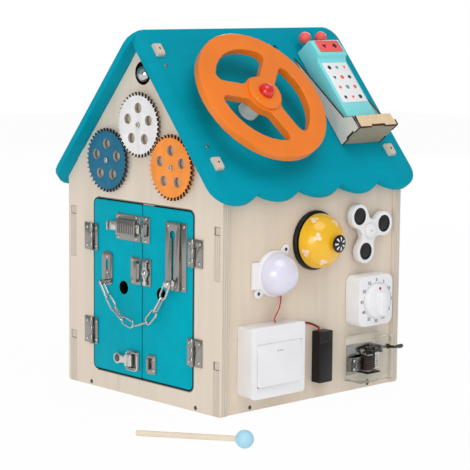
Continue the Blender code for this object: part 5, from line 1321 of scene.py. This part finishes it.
class HOUSE_OT_phone(bpy.types.Operator):
    """Toy telephone and its laser cut tray"""

    bl_idname = "house.phone"
    bl_label = "Telephone and tray"

    def execute(self, context):
        self.tray()
        self.body()
        self.keypad()
        return {"FINISHED"}

    def tray(self):
        cheeks = []
        for name, y in (("near", -TRAY_SIDE - TRAY_HALF), ("far", -TRAY_SIDE + TRAY_HALF - TRAY_PLY)):
            cheek = sheet(f"tray_{name}_cheek", CHEEK, y, y + TRAY_PLY, 0.0006, 1)
            cheeks.append(put(cheek, ROOF_SECTION))
        cheeks = joined("tray_cheeks", cheeks)
        # Pale tone of the cheeks: partly painted light
        give(cheeks, laser_cut("tray_ply", (0, 1, 0)), "house", "tray_ply", "phone_holder")
        square = turned_by(turned_by(ROOF, QUARTER, "Y"), QUARTER)
        outline = [(TRAY_SIDE + x, out) for x, out in mirrored(FOOT_HALF)]
        foot = put(sheet("tray_foot", outline, 0.1829, 0.1859, 0.0008, 1), square)
        # Darker tone of the foot: painted shade
        give(foot, laser_cut("tray_foot_ply", tuple(SLOPE)), "house", "tray_ply")
        outline = [(along, TRAY_SIDE + x) for x, along in mirrored(LIP_HALF)]
        lip = put(sheet("tray_lip", outline, 0.0366, 0.0396, 0.0006, 1), ROOF)
        give(lip, laser_cut("tray_lip_ply", tuple(NORMAL)), "house", "tray_ply")

    def body(self):
        body = sheet("phone_body", PHONE_SIDE, -TRAY_SIDE - PHONE_HALF, -TRAY_SIDE + PHONE_HALF, 0.0026, 4)
        give(put(body, ROOF_SECTION), plastic("phone_teal"), "telephone", "phone_plastic", "phone")
        pieces = []
        for sign in (-1, 1):
            centre = at(ROOF, 0.0290, TRAY_SIDE + sign * 0.0145, 0.0150)
            pieces.append(put(spun(f"phone_ball_{sign}", ball(0.0080, 20), 32), centre))
            stem = spun(f"phone_stem_{sign}", STEM_PROFILE, 20)
            pieces.append(put(stem, turned_by(centre, QUARTER, "Y")))
        give(joined("phone_balls", pieces), plastic("coral"), "telephone", "phone_plastic")

    def keypad(self):
        middle = at(ROOF, 0, TRAY_SIDE)
        pad = slab("phone_keypad", (0.0765, -0.0220, 0.0238), (0.1390, 0.0220, 0.0257), 0.0007)
        give(put(pad, middle), plastic("white"), "telephone", "phone_plastic")
        tilt = turned_by(at(middle, 0.0555, 0, 0.0309), -DISPLAY_TILT, "Y")
        screen = slab("phone_display", (-0.0098, -0.0205, -0.0010), (0.0085, 0.0205, 0.0014), 0.0008)
        give(put(screen, tilt), plastic("coral"), "telephone", "phone_plastic")
        marks = []
        for number, (y, sides) in enumerate(((-0.0095, 3), (0.0095, 4))):
            mark = disc(f"display_mark_{number}", 0.0042, 0.0012, 0.0017, 0.0002, sides)
            marks.append(put(mark, at(tilt, -0.0005, y)))
        give(joined("display_marks", marks), plastic("navy"), "telephone", "phone_plastic")
        groups = {}
        for number, (colour, sides) in enumerate(KEYS):
            row, place = divmod(number, KEY_COLUMNS)
            mark = disc(f"key_{number}", 0.0030, 0.0255, 0.0260, 0.0002, sides)
            put(mark, at(middle, 0.0845 + KEY_ROW_STEP * row, KEY_STEP * (place - 1)))
            groups.setdefault(colour, []).append(mark)
        for colour, pieces in groups.items():
            give(joined(f"keys_{colour}", pieces), plastic(colour), "telephone", "phone_plastic")


def smooth_route(points, steps=8):
    """A rounded route through given points, by Catmull-Rom curves."""
    ends = [2 * points[0] - points[1]] + points + [2 * points[-1] - points[-2]]
    route = []
    for a, b, c, d in zip(ends, ends[1:], ends[2:], ends[3:]):
        for i in range(steps):
            t = i / steps
            bend = 2 * a - 5 * b + 4 * c - d
            twist = 3 * (b - c) + d - a
            route.append((2 * b + (c - a) * t + bend * t**2 + twist * t**3) / 2)
    return route + [points[-1]]


def wire_pair(name, points, radius, colours, slot, node):
    """Two insulated wires that touch along one route."""
    route = smooth_route(points)
    for number, (sign, colour) in enumerate(zip((-1, 1), colours)):
        shifted = []
        for k, point in enumerate(route):
            ahead = route[min(k + 1, len(route) - 1)] - route[max(k - 1, 0)]
            shifted.append(point + Vector((-ahead.y, ahead.x, 0)).normalized() * radius * sign)
        wire = put(tube(f"{name}_{number}", shifted, radius, rings=3), SIDE)
        replaced = (node,) if number == 0 else ()
        give(wire, plastic(colour), "house", slot, *replaced)


LAMP_Y = -0.0680
LAMP_Z = 0.1645
LAMP_RADIUS = 0.0285
EAR_REACH = 0.0340
EAR_ANGLES = (55, 221)
EAR_TOP = 0.0025
LEAD_SIDE = 0.0115
LEAD_HALF = 0.0016
LEAD_TOP = LAMP_Z - math.sqrt(LAMP_RADIUS**2 - (LEAD_SIDE - LEAD_HALF) ** 2)
LEAD_FOOT = 0.1064


class HOUSE_OT_lamp(bpy.types.Operator):
    """Push light with its ears, dome and pair of wires"""

    bl_idname = "house.lamp"
    bl_label = "Push light"

    def execute(self, context):
        soften(plastic("white"), 0.0008, "light_base")
        here = at(SIDE, LAMP_Y, LAMP_Z)
        profile = dome(0.0265, 0.0075, 0.0338, 16) + [(0.0265, 0.0073), (0, 0.0073)]
        give(put(spun("lamp_dome", profile, 64), here), milky(), "house", "lamp_dome", "light_dome")
        turns = [math.radians(angle) for angle in EAR_ANGLES]
        ears = [(EAR_REACH * math.cos(turn), EAR_REACH * math.sin(turn), EAR_TOP) for turn in turns]
        screws("lamp_screws", ears, here, "house", 0.0022, 0.0010, steel("dark"))
        first = Vector((LAMP_Y + LEAD_SIDE, LEAD_TOP - SEAT, 0.0035))
        last = Vector((LAMP_Y - 0.0040, LEAD_FOOT + SEAT, 0.0110))
        drop = Vector((0, 0.0048, 0))
        bow = Vector((0.0016, 0, 0))
        points = [first, first - drop, first.lerp(last, 0.5) + bow, last + drop - bow, last]
        wire_pair("lamp_wire", points, 0.0008, ("wire_red", "wire_white"), "lead_white", "light_lead")
        return {"FINISHED"}


CALL_HOLE = 0.0035
CALL_WALL = 0.0015
CALL_STEPS = 16
PLUNGER_EDGE = [(0.0110, 0.0436), (0.0106, 0.0426), (0.0022, 0.0426), (0.0022, 0.0355), (0, 0.0355)]


class HOUSE_OT_call_bell(bpy.types.Operator):
    """Desk bell on its base, with a spotted dome and a plunger"""

    bl_idname = "house.call_bell"
    bl_label = "Call bell"

    def execute(self, context):
        here = at(SIDE, CALL_Y, CALL_Z)
        soften(plastic("black"), 0.0006, "bell_base")
        outer = self.shell(CALL_RADIUS, CALL_RISE)
        inner = self.shell(CALL_RADIUS - CALL_WALL, CALL_RISE - CALL_WALL)
        bell = put(spun("bell_dome_piece", outer + inner[::-1] + outer[:1], 96), here)
        give(bell, spotted(), "house", "bell_yellow", "bell_dome")
        profile = dome(0.0110, 0.0430, 0.0460, 8)[:-1] + PLUNGER_EDGE
        plunger = put(spun("bell_plunger_piece", profile), here)
        give(plunger, dashed(), "plunger", "plunger_black", "bell_plunger")
        return {"FINISHED"}

    def shell(self, radius, rise):
        """Profile of one side of the bell, from the plunger's hole to the rim."""
        first = math.asin(CALL_HOLE / radius)
        turns = [first + (QUARTER - first) * k / CALL_STEPS for k in range(CALL_STEPS + 1)]
        return [(radius * math.sin(turn), CALL_LOW + rise * math.cos(turn)) for turn in turns]


SPINNER_TURN = 14.7
SPINNER_REACH = 0.0268
SPINNER_TOP = 0.0125
# Sections of a bearing: radius and height from the top of the spinner
RING_SECTION = [
    (0.0108, -0.0010), (0.0108, -0.0002), (0.0100, 0.0001), (0.0086, -0.0001), (0.0076, -0.0010),
    (0.0108, -0.0010),
]
CUP_SECTION = [(0, -0.0006), (0.0030, -0.0005), (0.0060, -0.0007), (0.0080, -0.0009), (0, -0.00095)]
RACE_HEIGHT = -0.0006
CAP_PROFILE = [
    (0, 0.0156), (0.0060, 0.0156), (0.0086, 0.0150), (0.0095, 0.0141), (0.0095, 0.0128), (0.0039, 0.0128),
    (0.0039, 0.0042), (0.0120, 0.0042), (0.0120, 0.0003), (0, 0.0003),
]


class HOUSE_OT_spinner(bpy.types.Operator):
    """Hand spinner with three black bearings and a white cap"""

    bl_idname = "house.spinner"
    bl_label = "Spinner"

    def execute(self, context):
        soften(plastic("white"), 0.0018, "spinner_body")
        here = at(SIDE, 0.0904, 0.2044)
        turns = [math.radians(SPINNER_TURN + 120 * k) for k in range(3)]
        lobes = [at(turned_by(here, turn), SPINNER_REACH, 0, SPINNER_TOP) for turn in turns]
        for name, section, colour in (("ring", RING_SECTION, "black"), ("cup", CUP_SECTION, "bearing")):
            pieces = [put(spun(f"bearing_{name}_{k}", section), lobe) for k, lobe in enumerate(lobes)]
            give(joined(f"bearing_{name}s", pieces), plastic(colour), "spinner", "spinner_white")
        races = []
        for k, lobe in enumerate(lobes):
            race = tube(f"bearing_race_{k}", circle(0.0056, 32), 0.00022, closed=True)
            races.append(put(race, at(lobe, 0, 0, RACE_HEIGHT)))
        give(joined("bearing_races", races), steel("dark"), "spinner", "spinner_white")
        cap = put(spun("spinner_cap", CAP_PROFILE), here)
        give(cap, plastic("white"), "house", "spinner_cap", "spinner_axle")
        mark = put(disc("spinner_mark", 0.0014, 0.0154, 0.0157, 0.0001, 3), turned_by(here, QUARTER))
        give(mark, plastic("navy"), "house", "spinner_cap")
        return {"FINISHED"}


TIMER_FACE = 0.0250
NUMBER_REACH = 0.0262
TICKS = 60
TICKS_APART = 5
TICK_HALF = 0.00014
DIAL_LOW = 0.0253
DIAL_HIGH = 0.0313
DIAL_PROFILE = [
    (0, DIAL_HIGH), (0.0196, DIAL_HIGH), (0.0208, DIAL_HIGH - 0.0006), (0.0215, DIAL_HIGH - 0.0018),
    (0.0217, DIAL_LOW + 0.0006), (0.0217, DIAL_LOW), (0, DIAL_LOW),
]
LINE_FIRST = -0.55 / QUARTER
LINE_LAST = 0.85 / QUARTER


class HOUSE_OT_timer(bpy.types.Operator):
    """Kitchen timer with a numbered face, a knob and a grip"""

    bl_idname = "house.timer"
    bl_label = "Timer"

    def execute(self, context):
        here = at(SIDE, 0.0905, 0.1170)
        soften(plastic("white"), 0.0014, "timer_body")
        self.face(here)
        dial = spun("timer_disc", DIAL_PROFILE, 72)
        outline = rounded(-0.0056, 0.0056, -0.0190, 0.0120, 0.0054, 8)
        grip = sheet("timer_grip", outline, DIAL_HIGH - 0.0030, DIAL_HIGH + 0.0079, 0.0018, 4)
        knob = put(joined("timer_knob_piece", [dial, grip]), here)
        give(knob, plastic("white"), "dial", "timer_white", "timer_knob")
        dot = disc("timer_dot", 0.0020, DIAL_HIGH - 0.0001, DIAL_HIGH + 0.0002, 0.0001, 24)
        give(put(dot, at(here, 0, 0.0160)), plastic("wire_red"), "dial", "timer_white")
        pip = disc("timer_pip", 0.0009, DIAL_HIGH, DIAL_HIGH + 0.0003, 0.0001, 16)
        give(put(pip, at(here, 0, 0.0158)), plastic("ink"), "dial", "timer_white")
        curve = [(x, y, DIAL_HIGH - 0.0003) for x, y in arc(0, 0, 0.0205, LINE_FIRST, LINE_LAST, 24)]
        line = put(tube("timer_line", curve, 0.0003, rings=1), here)
        give(line, plastic("blue_grey"), "dial", "timer_white")
        return {"FINISHED"}

    def face(self, here):
        """Numbers for every five minutes and ticks between them."""
        numbers = []
        for k in range(0, TICKS, TICKS_APART):
            angle = QUARTER - math.tau * k / TICKS
            place = (NUMBER_REACH * math.cos(angle), NUMBER_REACH * math.sin(angle), TIMER_FACE + 0.0001)
            numbers.append(put(word(str(k), 0.0060, 0.0001), at(here, *place)))
        ticks = []
        for k in range(TICKS):
            if k % TICKS_APART:
                low = (0.0220, -TICK_HALF, TIMER_FACE - 0.0001)
                high = (0.0230, TICK_HALF, TIMER_FACE + 0.0002)
                tick = slab(f"tick_{k}", low, high, 0.00003, 1)
                ticks.append(put(tick, turned_by(here, math.tau * k / TICKS)))
        for name, pieces in (("timer_numbers", numbers), ("timer_ticks", ticks)):
            give(joined(name, pieces), plastic("ink"), "house", "timer_white")


SWITCH_Y = -0.0830
SWITCH_HALF = 0.0430
ROCKER_TILT = math.radians(3.5)
BATTERY_MIDDLE = 0.0130
BATTERY_HALF = 0.0233
BATTERY_TOP = 0.0855 + 0.0006
WIRE_RADIUS = 0.00065
WIRE_LIFT = 0.0013 + 0.0010


class HOUSE_OT_switch(bpy.types.Operator):
    """Wall switch, battery box and the wires between them"""

    bl_idname = "house.switch"
    bl_label = "Switch and battery box"

    def execute(self, context):
        soften(plastic("white"), 0.0007, "switch_box", "switch_rocker")
        tilted = turned_by(at(SIDE, SWITCH_Y, 0.0608, 0.0251 + 0.0050), -ROCKER_TILT, "X")
        low, high = (-0.0045, 0.0150, -0.0001), (-0.0019, 0.0166, 0.0002)
        marks = slabs("mark", 3, low, high, (0.0035, 0, 0), 0.00005, 1)
        give(put(joined("switch_mark", marks), tilted), plastic("grey_mark"), "rocker", "switch_white")
        soften(plastic("black"), 0.0006, "battery_box")
        lid = slab("battery_lid", (0.0025, 0.0235, 0.0130), (0.0235, 0.0700, 0.0139), 0.0004, 2)
        low, high = (0.0085, 0.0740, 0.0134), (0.0175, 0.0747, 0.0139)
        grooves = slabs("groove", 4, low, high, (0, 0.0018, 0), 0.0001, 1)
        lid = put(joined("battery_lid_piece", [lid] + grooves), SIDE)
        give(lid, plastic("black"), "house", "battery_black")
        start_y = SWITCH_Y + SWITCH_HALF - 0.0006 + SEAT
        entry = BATTERY_MIDDLE - BATTERY_HALF / 4
        points = [
            Vector((start_y, 0.0930, 2 * WIRE_LIFT)),
            Vector((start_y + 0.0080, 0.0950, 2 * WIRE_LIFT)),
            Vector((BATTERY_MIDDLE - BATTERY_HALF, 0.0970, WIRE_LIFT)),
            Vector((entry, BATTERY_TOP + 0.0039, 2 * WIRE_LIFT)),
            Vector((entry, BATTERY_TOP, 2 * WIRE_LIFT)),
        ]
        wire_pair("battery_wire", points, WIRE_RADIUS, ("wire_red", "black"), "lead_red", "battery_lead")
        return {"FINISHED"}


CLAMP_TOP = 0.0112
DRUM_PROFILE = [
    (0, 0.0550), (0.0038, 0.0550), (0.0042, 0.0546), (0.0042, 0.0510), (0.0015, 0.0510), (0.0015, 0.0435),
    (0.0074, 0.0435), (0.0078, 0.0431), (0.0078, 0.0259), (0.0074, 0.0255), (0.0015, 0.0255),
    (0.0015, 0.0235), (0, 0.0235),
]


class HOUSE_OT_music(bpy.types.Operator):
    """Hand-cranked music movement in its clear case"""

    bl_idname = "house.music"
    bl_label = "Music movement"

    def execute(self, context):
        soften(clear(), 0.0012, "music_case")
        soften(steel("plate"), 0.0002, "music_mechanism")
        soften(steel("dark"), 0.0002, "music_crank")
        clamp = slab("comb_clamp", (0.0645, 0.0262, 0.0096), (0.0700, 0.0428, CLAMP_TOP), 0.0003, 2)
        give(put(clamp, SIDE), steel("dark"), "house", "steel")
        screws("comb_screws", column(0.0672, (0.0290, 0.0400), CLAMP_TOP), SIDE, "house", 0.0017, 0.0008)
        comb = slab("scale_plate", (0.1018, 0.0262, 0.0125), (0.1094, 0.0470, 0.0143), 0.0003, 2)
        low, high = (0.1000, 0.0285, 0.0100), (0.1078, 0.0293, 0.0200)
        for gap in slabs("scale_gap", 7, low, high, (0, 0.0024, 0)):
            carved(comb, gap)
        give(put(comb, SIDE), steel("bright"), "house", "steel")
        back = slab("scale_back", (0.1018, 0.0262, 0.0010), (0.1094, 0.0470, 0.0123), 0.0003, 2)
        foot = slab("drum_foot", (0.0860, 0.0212, 0.0010), (0.1096, 0.0232, 0.0170), 0.0004, 2)
        give(put(joined("music_bed", [back, foot]), SIDE), plastic("black"), "house", "steel")
        axis = turned_by(at(SIDE, 0.0930, 0, 0.0095), -QUARTER, "X")
        give(put(spun("drum_piece", DRUM_PROFILE), axis), pinned(), "drum", "drum_brown", "music_drum")
        return {"FINISHED"}


MALLET_BALL = Vector((0.2650, -0.2315, 0.0106))
MALLET_END = Vector((0.1433, -0.2854, 0.0036))
STICK_LENGTH = (MALLET_BALL - MALLET_END).length - 0.0040
STICK_PROFILE = [
    (0, STICK_LENGTH), (0.0032, STICK_LENGTH), (0.0034, 0.0016), (0.0028, 0.0004), (0.0012, 0), (0, 0),
]


class HOUSE_OT_mallet(bpy.types.Operator):
    """Ball-headed mallet lying in front of the house"""

    bl_idname = "house.mallet"
    bl_label = "Mallet"

    def execute(self, context):
        axes = (MALLET_BALL - MALLET_END).to_track_quat("Z", "Y").to_matrix().to_4x4()
        stick = put(spun("mallet_stick", STICK_PROFILE, 32), Matrix.Translation(MALLET_END) @ axes)
        give(stick, bare_wood("pale_wood"), "beater", "mallet_paint", "mallet")
        head = put(spun("mallet_ball", ball(0.0104), 48), Matrix.Translation(MALLET_BALL))
        give(head, plastic("pale_blue"), "beater", "mallet_paint")
        return {"FINISHED"}


# Settings, panel and run


def colour_property(name, default, description):
    return bpy.props.FloatVectorProperty(
        name=name, description=description, default=default, min=0, max=1, subtype="COLOR_GAMMA"
    )


def number_property(name, default, description, unit="NONE"):
    return bpy.props.FloatProperty(name=name, description=description, default=default, unit=unit)


class HouseColours(bpy.types.PropertyGroup):
    birch: colour_property("Birch", (0.89, 0.84, 0.78), "Bare plywood")
    roof_teal: colour_property("Roof", (0.00, 0.60, 0.69), "Paint of the roof")
    door_teal: colour_property("Doors", (0.00, 0.665, 0.74), "Paint of the doors")
    wheel_orange: colour_property("Wheel", (0.95, 0.485, 0.00), "Steering wheel")
    gear_blue: colour_property("Blue gear", (0.10, 0.43, 0.56), "Paint of the left gear")
    gear_white: colour_property("White gear", (0.94, 0.93, 0.93), "Paint of the top gear")
    gear_orange: colour_property("Orange gear", (1.00, 0.60, 0.25), "Paint of the right gear")
    scorch: colour_property("Scorched edges", (0.27, 0.17, 0.11), "Laser cut edges")
    # The tray's cheeks and foot are one thin plywood: the cheeks' paler tone is partly painted light, and the
    # foot's darker tone is painted shade
    tray_ply: colour_property("Tray's cheeks", (0.92, 0.89, 0.85), "Thin plywood")
    tray_foot_ply: colour_property("Tray's foot", (0.66, 0.60, 0.51), "Thin plywood")
    tray_lip_ply: colour_property("Tray's lip", (0.92, 0.81, 0.66), "Thin plywood")
    pale_wood: colour_property("Pale wood", (0.93, 0.87, 0.78), "Mallet stick")
    white_wood: colour_property("White wood", (0.94, 0.93, 0.91), "Wheel's stand-off")
    pale_blue: colour_property("Mallet ball", (0.66, 0.85, 0.92), "Painted ball")
    coral: colour_property("Coral", (0.96, 0.38, 0.36), "Telephone's display and balls")
    teal_mark: colour_property("Green marks", (0.35, 0.66, 0.56), "Some of the keys' marks")
    navy: colour_property("Dark marks", (0.16, 0.16, 0.24), "Other marks")
    ink: colour_property("Ink", (0.16, 0.16, 0.18), "Timer's numbers")
    blue_grey: colour_property("Timer's line", (0.62, 0.64, 0.80), "Thin line on the dial")
    grey_mark: colour_property("Switch mark", (0.72, 0.73, 0.75), "Mark on the rocker")
    lamp: colour_property("Lamp", (0.88, 0.87, 0.93), "Milky dome")
    wire_red: colour_property("Red wire", (0.80, 0.10, 0.08), "Insulation")
    wire_white: colour_property("White wire", (0.90, 0.88, 0.86), "Insulation")
    drum: colour_property("Drum", (0.17, 0.12, 0.10), "Music movement's drum")
    horn_red: colour_property("Horn", (0.85, 0.06, 0.09), "Horn button")
    phone_teal: colour_property("Telephone", (0.52, 0.88, 0.90), "Toy telephone")
    bell_yellow: colour_property("Bell", (0.95, 0.73, 0.08), "Call bell's dome")
    bell_spots: colour_property("Bell's spots", (0.98, 0.86, 0.78), "Spots on the call bell")
    white: colour_property("White plastic", (0.93, 0.93, 0.94), "Lamp, switch, timer and spinner")
    bearing: colour_property("Bearings", (0.03, 0.03, 0.04), "Middles of the spinner's bearings")
    black: colour_property("Black plastic", (0.035, 0.035, 0.04), "Bell's base and battery box")


class HouseSizes(bpy.types.PropertyGroup):
    floor_size: number_property("Floor", 8, "Side of the floor", "LENGTH")
    front_light: number_property("Front light", 25, "Watts", "POWER")
    back_light: number_property("Back light", 22, "Watts", "POWER")
    top_light: number_property("Top light", 21, "Watts", "POWER")
    glint_light: number_property("Small light", 2.5, "Watts", "POWER")
    fill_light: number_property("Fill", 0.54, "Strength of the surroundings")
    mirrored_light: number_property("Mirrored", 0.4, "Surroundings in reflections")


STEPS = (
    HOUSE_OT_stage,
    HOUSE_OT_panels,
    HOUSE_OT_hinges,
    HOUSE_OT_bolt,
    HOUSE_OT_chain,
    HOUSE_OT_latches,
    HOUSE_OT_gears,
    HOUSE_OT_jingle_bell,
    HOUSE_OT_wheel,
    HOUSE_OT_phone,
    HOUSE_OT_lamp,
    HOUSE_OT_call_bell,
    HOUSE_OT_spinner,
    HOUSE_OT_timer,
    HOUSE_OT_switch,
    HOUSE_OT_music,
    HOUSE_OT_mallet,
)


class HOUSE_PT_pieces(bpy.types.Panel):
    """Lists the pieces that dress the house"""

    bl_label = "Activity House"
    bl_idname = "HOUSE_PT_pieces"
    bl_space_type = "VIEW_3D"
    bl_region_type = "UI"
    bl_category = "House"

    def draw(self, context):
        for settings in (context.scene.house_colours, context.scene.house_sizes):
            for name in settings.__annotations__:
                self.layout.prop(settings, name)
        for step in STEPS:
            self.layout.operator(step.bl_idname)


CLASSES = (HouseColours, HouseSizes, *STEPS, HOUSE_PT_pieces)


def register():
    for item in CLASSES:
        bpy.utils.register_class(item)
    bpy.types.Scene.house_colours = bpy.props.PointerProperty(type=HouseColours)
    bpy.types.Scene.house_sizes = bpy.props.PointerProperty(type=HouseSizes)


def unregister():
    del bpy.types.Scene.house_sizes
    del bpy.types.Scene.house_colours
    for item in reversed(CLASSES):
        bpy.utils.unregister_class(item)


def main():
    register()
    activate()
    for step in STEPS:
        group, name = step.bl_idname.split(".")
        getattr(getattr(bpy.ops, group), name)()


if __name__ == "__main__":
    main()
